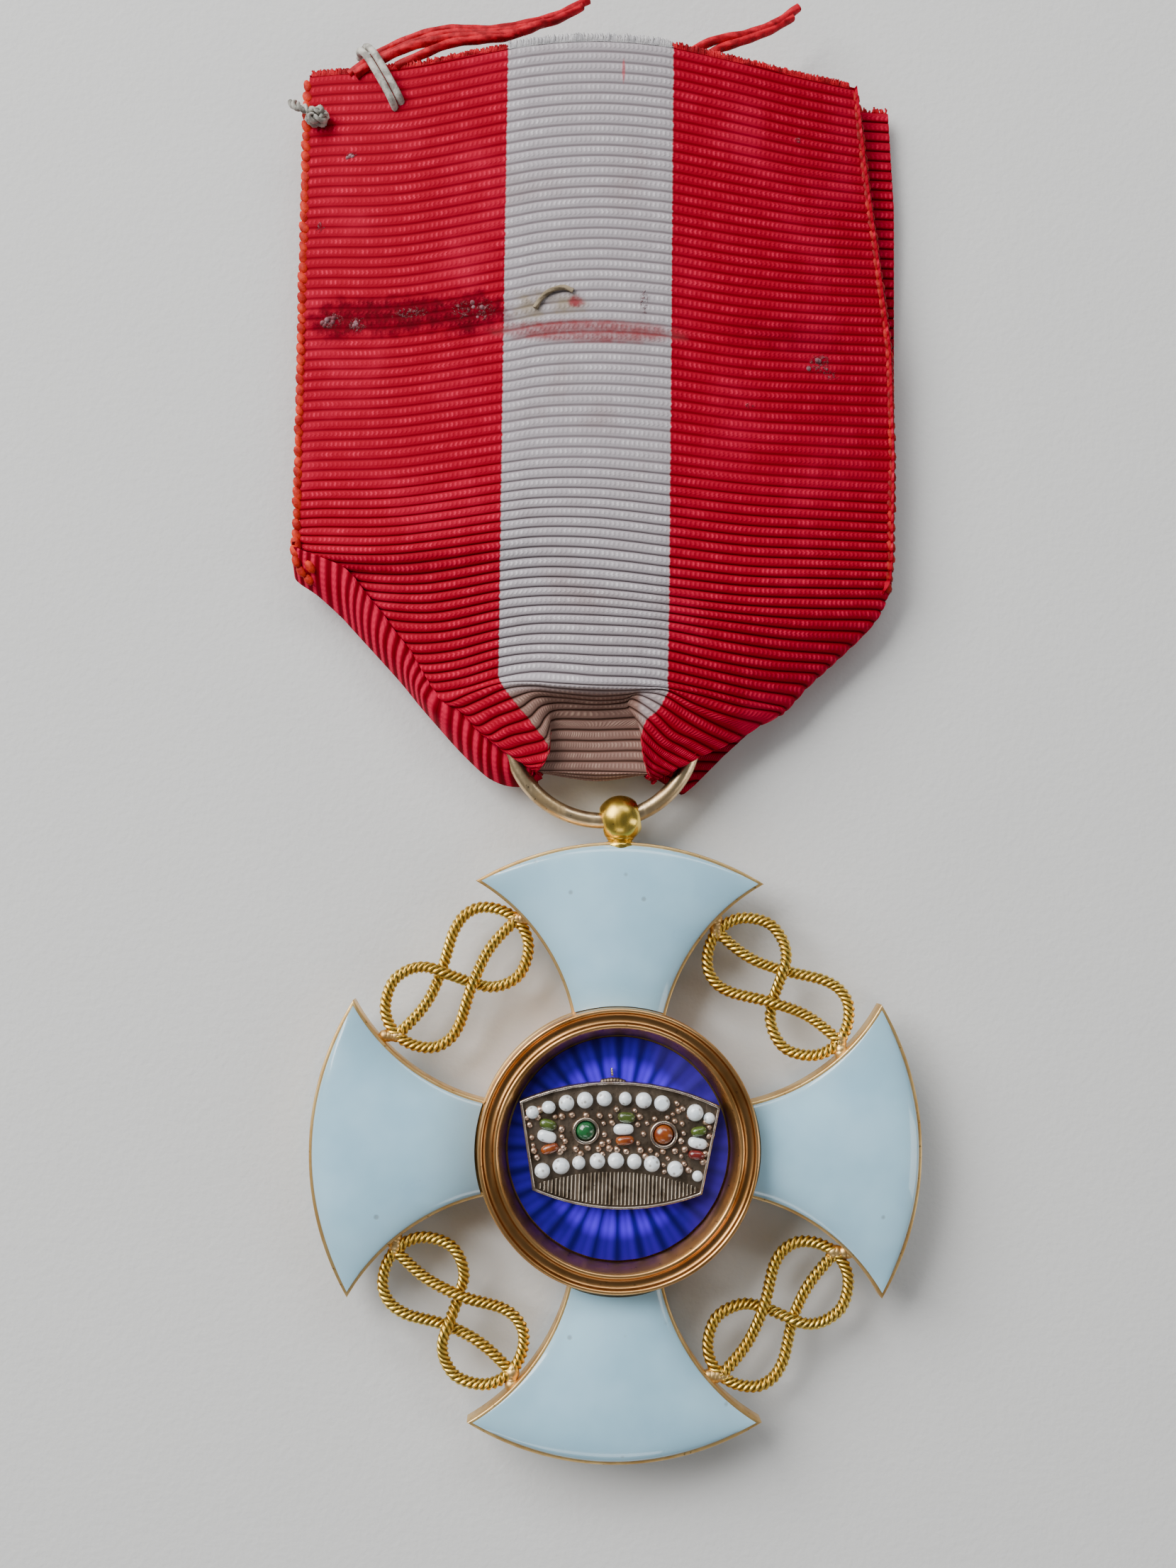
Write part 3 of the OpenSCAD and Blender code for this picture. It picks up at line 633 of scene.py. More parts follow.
def makeFloor():
    material, tree = newMaterial("paleFloor")
    place = tree.objectPlace()
    cloud = tree.noise(place, 30.0, 3.0)
    shadeWith(tree, {
        "Base Color": tree.mix(cloud, floorLook["pale"], floorLook["soft"]), "Roughness": 0.85,
        "Normal": tree.bump(tree.noise(place, 2200.0, 2.0), 0.00003),
    })
    half = floorLook["size"] / 2
    mesh = bpy.data.meshes.new("floor")
    corners = [(-half, -half, 0), (half, -half, 0), (half, half, 0), (-half, half, 0)]
    mesh.from_pydata(corners, [], [(0, 1, 2, 3)])
    mesh.materials.append(material)
    newObject("floor", mesh)


makeFloor()

lights = {  # place in metres, size, power in watts, colour
    "window": ((-0.4, 0.32, 0.36), (0.5, 0.42), 7.6, (0.98, 0.985, 0.98)),
    "topPanel": ((0.12, 0.5, 0.4), (0.5, 0.16), 1.3, (0.93, 0.97, 1.0)),
    "rightFill": ((0.5, -0.12, 0.24), (0.16, 0.34), 0.55, (1.0, 0.95, 0.88)),
    "lowFill": ((-0.05, -0.5, 0.3), (0.34, 0.1), 0.35, (0.95, 0.97, 1.0)),
}
skyLight = {"colour": (0.78, 0.84, 0.9, 1.0), "strength": 0.17}


def makeLights():
    for name, (place, size, power, colour) in lights.items():
        data = bpy.data.lights.new(name, "AREA")
        data.shape = "RECTANGLE"
        data.size, data.size_y = size
        data.energy, data.color = power, colour
        lamp = newObject(name, data)
        lamp.location = place
        lamp.rotation_euler = (-Vector(place)).to_track_quat("-Z", "Y").to_euler()
    world = bpy.data.worlds.new("studio")
    world.use_nodes = True
    background = world.node_tree.nodes["Background"]
    background.inputs["Color"].default_value = skyLight["colour"]
    background.inputs["Strength"].default_value = skyLight["strength"]
    bpy.context.scene.world = world


makeLights()

print("cross")
crossLook = {
    "reach": 18.5, "tipHalf": 8.8, "outerR": 17.0, "sideR": 12.3, "neckHalf": 3.0, "neckY": 8.67,
    "middleZ": 2.5, "halfEdge": 0.75, "rim": 0.28, "swell": 0.75, "neckR": 8.6, "hubR": 8.45,
    "slab": 0.3, "soften": 0.06, "rimStart": 7.6, "hubShift": (-0.1, 0.05, 0.0), "padLow": 0.31,
    "padLift": 0.015,
}
outerY = crossLook["reach"] - crossLook["outerR"]
tipY = outerY + math.sqrt(crossLook["outerR"] ** 2 - crossLook["tipHalf"] ** 2)


def sideCentre():
    p = np.array([crossLook["neckHalf"], crossLook["neckY"]])
    q = np.array([crossLook["tipHalf"], tipY])
    way = q - p
    span = np.linalg.norm(way)
    high = math.sqrt(crossLook["sideR"] ** 2 - span ** 2 / 4)
    return (p + q) / 2 + high * np.array([way[1], -way[0]]) / span


sideMiddle = sideCentre()


# Angle on the side arc of this radius where it meets the circle of otherR about middle.
def arcAngle(radius, middle, otherR):
    gap = np.asarray(middle) - sideMiddle
    span = np.linalg.norm(gap)
    along = math.acos((radius ** 2 + span ** 2 - otherR ** 2) / (2 * radius * span))
    return math.atan2(gap[1], gap[0]) - along


def sidePoint(share, inset, neckR):
    radius = crossLook["sideR"] + inset
    tip = arcAngle(radius, (0, outerY), crossLook["outerR"] - inset)
    neck = arcAngle(radius, (0, 0), neckR)
    angle = neck + (tip - neck) * share
    return sideMiddle + radius * np.array([math.cos(angle), math.sin(angle)])


# The line round an arm from neck to neck, drawn in by inset.
def armLine(inset, sideSteps=26, outerSteps=40):
    right = [sidePoint(s, inset, crossLook["rimStart"]) for s in np.linspace(0, 1, sideSteps)]
    tip = right[-1]
    reach = crossLook["outerR"] - inset
    start = math.degrees(math.atan2(tip[1] - outerY, tip[0]))
    outer = arcPoints((0, outerY), reach, start, 180 - start, outerSteps)
    left = [(-p[0], p[1]) for p in reversed(right)]
    return np.array([tuple(p) for p in right] + outer[1:-1] + left)


def armRim():
    rim, high, soft = crossLook["rim"], crossLook["halfEdge"], crossLook["soften"]
    profile = [
        (0, -high + soft), (soft * 0.4, -high + soft * 0.35), (soft, -high), (rim - soft, -high),
        (rim, -high + soft), (rim, high - soft), (rim - soft, high), (soft, high),
        (soft * 0.4, high - soft * 0.35), (0, high - soft),
    ]
    lines = {inset: armLine(inset) for inset in {p[0] for p in profile}}
    count = len(lines[0])
    points = [(*lines[inset][k], crossLook["middleZ"] + z) for k in range(count) for inset, z in profile]
    faces = gridFaces(count, len(profile), wrap=True)
    faces += [tuple(range(len(profile))), tuple(range((count - 1) * len(profile), count * len(profile)))]
    return points, faces


# A patch that fills an arm inside its rim. height(share, across) gives its top over the base.
def armPatch(rows, columns, inset, neckR, base, height):
    neckBulge = neckR - sidePoint(0, inset, neckR)[1]
    tipBulge = crossLook["reach"] - inset - sidePoint(1, inset, neckR)[1]
    top, low = [], []
    for share in 1 - (1 - np.linspace(0, 1, rows)) ** 1.35:
        edge = sidePoint(share, inset, neckR)
        bulge = neckBulge + (tipBulge - neckBulge) * share
        for across in np.sin(np.linspace(-1, 1, columns) * math.pi / 2):
            x, y = across * edge[0], edge[1] + bulge * (1 - across ** 2)
            top.append((x, y, base[1] + height(share, across)))
            low.append((x, y, base[0]))
    n = rows * columns
    faces = gridFaces(rows, columns)
    faces += [tuple(k + n for k in reversed(face)) for face in faces]
    faces += [(a, a + n, b + n, b) for a, b in gridRim(rows, columns)]
    return top + low, faces


def pillow(share, across):
    side = max(0.0, 1 - abs(across) ** 2.1) ** 0.7
    end = max(0.0, 1 - share ** 4) ** 0.55
    return crossLook["swell"] * side * end * (0.72 + 0.28 * min(1.0, share / 0.45) ** 0.6)


def makeCross():
    rim = armRim()
    slab = armPatch(6, 8, 0.1, 8.0, (-crossLook["slab"], crossLook["slab"]), lambda s, t: 0.0)
    slab = moved(slab, (0, 0, crossLook["middleZ"]))
    high, soft = crossLook["halfEdge"], crossLook["soften"]
    hubR, middle = crossLook["hubR"], crossLook["middleZ"]
    hub = lathe([
        (0, middle - high), (hubR - soft, middle - high), (hubR, middle - high + soft),
        (hubR, middle + high - soft), (hubR - soft, middle + high), (0, middle + high),
    ], 160, closed=False)
    parts = [moved(hub, crossLook["hubShift"])]
    for quarter in range(4):
        parts += [moved(rim, turn=turnZ(90 * quarter)), moved(slab, turn=turnZ(90 * quarter))]
    addPiece("crossPlate", *joined(*parts), metals["plateGold"], "frame_gold", ["cross_frame"])
    base = (crossLook["padLow"], high + crossLook["padLift"])
    pad = armPatch(26, 40, crossLook["rim"] - 0.1, crossLook["neckR"], base, pillow)
    sides = [("frontEnamel_", "enamel_", (1, 1, 1)), ("backEnamel_", "back_enamel_", (-1, 1, -1))]
    for quarter, name in enumerate(["top", "left", "bottom", "right"]):
        for piece, node, flip in sides:
            shape = moved(pad, (0, 0, middle), turnZ(90 * quarter) @ np.diag(flip))
            addPiece(piece + name, *shape, glasses["whiteEnamel"], "white_enamel", [node + name], sharp=60)


makeCross()

print("ball, ring and knots")
ballLook = {
    "radius": 1.45, "reach": 19.95, "hole": 0.8, "lean": 12.0, "soften": 0.1, "footY": 18.3,
    "foot": [(0, -0.3), (0.95, -0.3), (1.02, 0.02), (0.97, 0.16), (0.8, 0.24), (0.74, 0.32), (0.84, 0.4),
             (0.86, 0.5), (0.7, 0.62), (0, 0.7)],
}
ringLook = {"radius": 5.75, "wire": 0.5, "steps": 180}


def makeBallAndRing():
    radius, hole, soft = (ballLook[key] for key in ("radius", "hole", "soften"))
    height = crossLook["middleZ"]
    edge = math.sqrt(radius ** 2 - (hole + soft) ** 2)
    outside = math.degrees(math.atan2(edge, hole + soft))
    inner = edge - soft
    corner = [(hole + 0.03, inner + soft * 0.6), (hole, inner)]
    profile = arcPoints((0, 0), radius, -outside, outside, 30) + corner
    profile += [(x, -y) for x, y in reversed(corner)]
    stand = np.array([[0, 0, 1], [0, 1, 0], [-1, 0, 0]])
    lay = np.array([[1, 0, 0], [0, 0, 1], [0, -1, 0]])
    ball = moved(lathe(profile, 72), (0, ballLook["reach"], height), turnZ(ballLook["lean"]) @ stand)
    foot = moved(lathe(ballLook["foot"], 48, closed=False), (0, ballLook["footY"], height), lay)
    addPiece("ballLoop", *joined(ball, foot), metals["polishedGold"], "frame_gold", ["cross_frame"], sharp=50)
    lean, far = math.radians(ballLook["lean"]), ringLook["radius"]
    middle = (-far * math.sin(lean), ballLook["reach"] + far * math.cos(lean), height)
    ring = lathe(arcPoints((far, 0), ringLook["wire"], 0, 345, 24), ringLook["steps"])
    addPiece("jumpRing", *moved(ring, middle), metals["dullBronze"], "ring_bronze", ["jump_ring"], sharp=60)


makeBallAndRing()

knotLook = {
    "scale": 0.945, "steps": 6,
    "sizes": {"Step": 0.000075, "Ridge": 0.00037, "Valley": 0.00026, "Turn": -0.0014},
    "half": [
        (0, 0, 0), (0.48, 0.94, 0.36), (1.09, 1.88, 0.22), (2.1, 2.48, 0), (3, 2.6, 0), (4, 2.22, 0),
        (4.9, 1.4, 0), (5.31, 0, 0), (4.85, -1.5, 0), (3.85, -2.45, 0), (3, -2.62, 0), (1.9, -2.35, 0),
        (1.0, -1.85, 0.16), (0.3, -1.42, 0.3), (-0.45, -1.0, 0.36), (-1.35, -0.56, 0.22), (-2.3, -0.18, 0.04),
        (-3.3, 0.04, 0), (-4.2, 0.12, 0.02), (-5.15, 0.15, 0.1),
    ],
    "places": [  # quarter turn, shift along, distance from the middle and own tilt
        (0, 0.02, 13.96, -0.5), (90, 0, 13.86, 2.2), (180, -0.22, 14.16, -1.9), (270, 0, 13.75, -2.2),
    ],
    "solder": {"Radius": 0.0004, "Spread": 0.15},
    "solderStart": (4.95, 0.3, -0.05), "solderStep": (0.16, -0.16, 0.02),
}


def makeKnots():
    look = knotLook
    half = np.array(look["half"], float)
    whole = np.concatenate([-half[:0:-1], half])
    along = np.concatenate([[0], np.cumsum(np.linalg.norm(np.diff(whole, axis=0), axis=1))])
    steps = np.linspace(0, along[-1], (len(whole) - 1) * look["steps"] + 1)
    path = smoothLine(along, whole, steps) * look["scale"]
    spots = np.array(look["solderStart"]) + np.arange(5)[:, None] * np.array(look["solderStep"])
    points, edges, solder = [], [], []
    for quarter, shift, reach, tilt in look["places"]:
        def onCross(local):
            return (local @ turnZ(tilt).T + (shift, -reach, crossLook["middleZ"])) @ turnZ(quarter + 45).T

        edges += chain(len(path), len(points))
        points += onCross(path * (1, -1, 1)).tolist()
        for side in (-1, 1):
            solder += onCross(spots * (side, side, 1)).tolist()
    onFrame = ("frame_gold", ["cross_frame"])
    grow("wireKnots", rope, points, edges, look["sizes"], metals["wireGold"], *onFrame)
    grow("solderSpots", grains, solder, [], look["solder"], metals["plateGold"], *onFrame)


makeKnots()

print("medallion")
bezelLook = {
    "steps": 200, "outerR": 8.4, "innerR": 6.7, "low": 3.3, "top": 5.0,
    # the hollow goes in from the outer radius, the lip out from the inner one, and both down from the top
    "hollow": [(0.3, 0.27), (0.38, 0.36), (0.6, 0.42), (0.82, 0.37), (0.92, 0.27)],
    "lip": [(0.42, 0.22), (0.27, 0.45), (0.12, 0.72), (0.02, 1.0)],
}


def makeBezel():
    outer, inner, low, top = (bezelLook[k] for k in ("outerR", "innerR", "low", "top"))
    wall = outer - 0.02
    profile = [(inner + 0.02, low), (outer - 0.08, low), (wall, low + 0.08), (wall, top - 0.2)]
    profile += arcPoints((outer - 0.16, top - 0.15), 0.14, 0, 165, 12)
    profile += [(outer - d, top - z) for d, z in bezelLook["hollow"]]
    profile += arcPoints((outer - 1.07, top - 0.17), 0.16, 20, 135, 10)
    profile += [(inner + d, top - z) for d, z in bezelLook["lip"]]
    bezel = moved(lathe(profile, bezelLook["steps"]), medalMiddle)
    addPiece("frontBezel", *bezel, metals["roseGold"], "bezel_gold", ["front_bezel"], sharp=50)


def makeDisc():
    look = discLook
    angles = np.linspace(0, 2 * math.pi, look["rays"] * look["stepsPerRay"], endpoint=False)
    ridges = np.abs((angles * look["rays"] / (2 * math.pi)) % 1 - 0.5) * 2
    rows = []
    for r in look["rings"]:
        depth = look["flute"] * min(1.0, r / look["fullFlute"])
        heights = look["top"] - depth * (1 - ridges ** 1.5)
        rows.append([(r * math.cos(a), r * math.sin(a), z) for a, z in zip(angles, heights)])
    rows.append([(x, y, look["floor"]) for x, y, z in rows[-1]])
    points = [p for row in rows for p in row]
    faces = gridFaces(len(rows), len(angles), wrap=True)
    for row, height in ((0, look["top"] - 0.02), (len(rows) - 1, look["floor"])):
        points.append((0, 0, height))
        start = row * len(angles)
        faces += [(start + j, start + (j + 1) % len(angles), len(points) - 1) for j in range(len(angles))]
    addPiece("blueDisc", *moved((points, faces), medalMiddle), cobalt, "blue_enamel", ["blue_disc"], sharp=80)


makeBezel()
makeDisc()

print("crown")
crownLook = {
    "turn": -1.2, "seat": 4.27, "rowR": 14.6, "upper": 3.0, "lower": -0.65,
    "upperBeads": [
        (-5.2, 0.8), (-4.25, 0.8), (-3.2, 0.95), (-2.1, 1), (-0.95, 0.95), (0.3, 0.8), (1.4, 0.95),
        (2.5, 0.95), (4.5, 1), (5.35, 0.7),
    ],
    "lowerBeads": [
        (-4.5, 0.95), (-3.4, 1), (-2.35, 0.8), (-1.25, 0.95), (-0.15, 1), (0.95, 0.9), (2, 0.95),
        (3.4, 0.95), (4.75, 0.65),
    ],
    "stones": {  # x, y, width, height across, turn
        "green": [(-4.25, 1.35, 1.05, 0.55, -12), (0.4, 1.9, 1.05, 0.55, -4), (4.75, 1.2, 0.95, 0.5, 14)],
        "white": [(-4.3, 0.65, 1.15, 0.65, -14), (0.25, 1.2, 1.2, 0.6, 4), (4.7, 0.5, 1.15, 0.6, -10)],
        "red": [(-4.1, -0.05, 1.1, 0.5, 20), (0.35, 0.55, 1.1, 0.5, 6), (4.65, -0.2, 1, 0.5, -4)],
    },
    "cabochons": {"green": (-2, 1.05, 1.15), "red": (2.65, 0.95, 1.2)},
    "topHalf": 6.0, "footHalf": 5.05, "sideY": 2.7, "footY": -2.5, "crestY": 4.0, "lowY": -3.5,
    "plateZ": 4.25,
    "rimInset": 0.09, "hatchInset": 0.25, "hatchTop": -1.32, "hatch": [-4.6, 4.6, 41],
    "lift": {
        "crownRim": 0.19, "crownCollets": 0.17, "crownHatch": 0.09, "crownMound": -0.1, "crownGrains": 0.04,
    },
    "sizes": {
        "crownRim": {"Step": 0.0002, "Ridge": 0.000085, "Valley": 0.000085, "Turn": 1.0},
        "crownCollets": {"Step": 0.00012, "Ridge": 0.00011, "Valley": 0.00011, "Turn": 1.0},
        "crownHatch": {"Step": 0.00007, "Ridge": 0.00007, "Valley": 0.00003, "Turn": 0.00042},
        "crownPin": {"Step": 0.00007, "Ridge": 0.00009, "Valley": 0.00007, "Turn": 0.0005},
        "crownMound": {"Radius": 0.0002, "Spread": 0.06}, "crownGrains": {"Radius": 0.00019, "Spread": 0.25},
    },
    "grains": [
        (-5.35, 1.3), (-5.2, 0.55), (-5.05, -0.2), (-3.45, 1.85), (-2.85, 1.95), (-2, 1.95), (-1.2, 1.95),
        (-0.55, 1.95), (-3.3, 0), (-2.55, -0.05), (-1.85, 0.05), (-1.2, 0), (-0.6, 0.45), (1.2, 1.95),
        (1.3, 0), (1.9, 0), (2.65, -0.05), (3.35, 0), (3.75, 1.6), (3.7, 0.6), (3.5, 2.35), (5.36, 0.92),
        (-0.44, 1.55), (1.08, 1.5), (1.46, 0.94), (1.65, 1.57), (2.1, 1.85), (3.16, 2.15), (2.85, 1.95),
        (3.3, 1.75), (-0.95, 1.5), (-0.89, 0.85), (-1.0, 0.3), (-3.2, 0.4), (-2.25, -0.3), (-0.95, -0.3),
        (-0.57, 0.05), (-5.5, 2.1), (-5.55, 1.7), (-4.87, 1.75), (-3.45, 1.1), (-3.4, 0.65), (-3.5, -0.2),
        (2.3, -0.25), (1.6, -0.35), (1.14, 0.4), (2.95, -0.45), (3.75, -0.3), (3.95, 0.1), (3.85, 1.05),
        (5.38, 1.45), (5.28, 0.4), (5.18, -0.12), (5.08, -0.6), (4.2, -1.1), (3.95, -0.75), (2.7, -0.85),
        (2.75, -1.25), (4.15, 2.05), (3.4, 2.8), (3.75, 2.5), (-4.75, 2.2), (-5.1, 0.1), (-4.85, -0.6),
        (0.45, -0.1), (-0.1, 0.0), (0.9, 2.3), (-0.2, 2.35), (-3.85, 1.8), (5.15, 1.75),
    ],
    "pin": [
        (-0.5, 4.3, 3.95), (-0.52, 4.45, 3.98), (-0.54, 4.6, 3.98), (-0.56, 4.75, 3.98),
    ],
    "mound": [
        (-1.05, 3.93), (-0.88, 3.97), (-0.7, 4.0), (-0.52, 4.02), (-0.34, 4.02), (-0.16, 4.0),
        (0.02, 3.97), (0.18, 3.93),
    ],
}


def onCrown(shape, x=0.0, y=0.0, z=0.0, turn=0.0):
    placed = moved(shape, (x, y, z), turnZ(turn))
    return moved(placed, medalMiddle, turnZ(crownLook["turn"]))


def rowHeight(x, middle):
    return middle - crownLook["rowR"] + math.sqrt(crownLook["rowR"] ** 2 - x * x)


# A round bead with a flat foot, a little pressed out of round.
def beadShape(d, seed):
    chance = np.random.default_rng(seed)
    side = [(0.5 * d * math.cos(a), d * (0.12 + 0.5 * math.sin(a))) for a in np.linspace(-0.24, 1.5, 12)]
    points, faces = lathe([(0, 0)] + side + [(0, d * 0.62)], 26, closed=False)
    points = np.array(points)
    lean = chance.uniform(-0.05, 0.05, 3)
    points *= 1 + lean * 0.8
    points[:, 2] += points[:, 0] * lean[0] + points[:, 1] * lean[1]
    flat = chance.uniform(0.5, 0.8) * d  # some beads are worn or chipped on top
    points[:, 2] = np.minimum(points[:, 2], flat + 0.3 * (points[:, 2] - flat) + points[:, 0] * lean[2])
    points[:, 2] = np.maximum(points[:, 2], 0)
    return points, faces


# A lens seen from above, with a domed top.
def lensShape(width, across):
    sides = 28
    shares = [0.0, 1.0, 1.0, 0.93, 0.75, 0.5, 0.25, 0.0]
    heights = [0.0, 0.0, 0.16, 0.28, 0.37, 0.42, 0.445, 0.45]
    outline = []
    for k in range(sides):
        a = 2 * math.pi * k / sides
        x = 0.5 * width * math.copysign(abs(math.cos(a)) ** 0.7, math.cos(a))
        outline.append((x, 0.56 * across * math.copysign(abs(math.sin(a)) ** 0.85, math.sin(a))))
    points = [(x * share, y * share, z) for share, z in zip(shares, heights) for x, y in outline]
    return points, gridFaces(len(heights), sides, wrap=True)


def domeShape(d):
    side = [(0.5 * d * math.cos(a), 0.5 * math.sin(a)) for a in np.linspace(0, 1.5, 10)]
    return lathe([(0, 0)] + side + [(0, 0.5)], 36, closed=False)


def makeCrown():
    look, seat = crownLook, crownLook["seat"]
    stones = {"white": [], "green": [], "red": []}
    for row, key in (("upper", "upperBeads"), ("lower", "lowerBeads")):
        for k, (x, d) in enumerate(look[key]):
            shape = onCrown(beadShape(d, k + 40 * len(row + key)), x, rowHeight(x, look[row]), seat)
            stones["white"].append((shape, f"bead_{row}_{k + 1}"))
    for colour, places in look["stones"].items():
        for where, (x, y, width, across, turn) in zip(("left", "middle", "right"), places):
            shape = onCrown(lensShape(width, across), x, y, seat, turn)
            stones[colour].append((shape, f"stone_{where}_{colour}"))
    for colour, (x, y, d) in look["cabochons"].items():
        stones[colour].append((onCrown(domeShape(d), x, y, seat), f"cabochon_{colour}"))
    # the small greens are olive, and the right stack's red is darker
    stones["olive"], stones["green"] = stones["green"][:3], stones["green"][3:]
    stones["crimson"] = [stones["red"].pop(2)]
    looks = {
        "white": ("beadEnamel", "white_bead"), "green": ("greenGlass", "green_stone"),
        "olive": ("oliveGlass", "green_stone"), "red": ("redGlass", "red_stone"),
        "crimson": ("crimsonGlass", "red_stone"),
    }
    for colour, (glass, slotName) in looks.items():
        shapes, nodes = zip(*stones[colour])
        addPiece(colour + "Stones", *joined(*shapes), glasses[glass], slotName, nodes, sharp=60)


def arcHeight(half, rise, inset, x):
    radius = (half * half + rise * rise) / (2 * rise)
    return rise - radius + math.sqrt((radius - inset) ** 2 - x * x)


def crownFoot(inset, x):  # the crown's sagging bottom edge at x, drawn in by inset
    look = crownLook
    return look["footY"] - arcHeight(look["footHalf"], look["footY"] - look["lowY"], inset, x)


# The crown's silver work on its plate: a rim, collets, grains, a pin on top and the hatched inside.
def makeCrownWork():
    look = crownLook
    topHalf, footHalf, inset = look["topHalf"], look["footHalf"], look["rimInset"]
    rim = [(x, look["sideY"] + arcHeight(topHalf, look["crestY"] - look["sideY"], inset, x))
           for x in np.linspace(-topHalf + inset, topHalf - inset, 40)]
    rim += [(x, crownFoot(inset, x)) for x in np.linspace(footHalf - inset, -footHalf + inset, 34)]
    rings, ringEdges = [], []
    for x, y, d in look["cabochons"].values():
        ringEdges += [(len(rings) + k, len(rings) + (k + 1) % 36) for k in range(36)]
        rings += arcPoints((x, y), d / 2 + 0.13, 0, 350, 36)
    lines, lineEdges = [], []
    for x in np.linspace(*look["hatch"]):
        lineEdges += chain(6, len(lines))
        low, high = crownFoot(look["hatchInset"], x), rowHeight(x, look["hatchTop"])
        lines += [(x, y) for y in np.linspace(low, high, 6)]
    work = [
        ("crownRim", rope, rim, chain(len(rim)) + [(len(rim) - 1, 0)], "paleSilver"),
        ("crownCollets", rope, rings, ringEdges, "paleSilver"),
        ("crownHatch", rope, lines, lineEdges, "tarnishedSilver"),
        ("crownPin", rope, look["pin"], chain(len(look["pin"])), "tarnishedSilver"),
        # the mound stands for the crown's top arches, and its dark silver is a painted shade over them
        ("crownMound", grains, look["mound"], [], "darkSilver"),
        ("crownGrains", grains, look["grains"], [], "grainSilver"),
    ]
    for name, group, flat, edges, metal in work:
        points = [tuple(p) if len(p) == 3 else (*p, look["plateZ"] + look["lift"][name]) for p in flat]
        placed, _ = onCrown((points, []))
        grow(name, group, placed, edges, look["sizes"][name], metals[metal], "crown_silver")


makeCrown()
makeCrownWork()

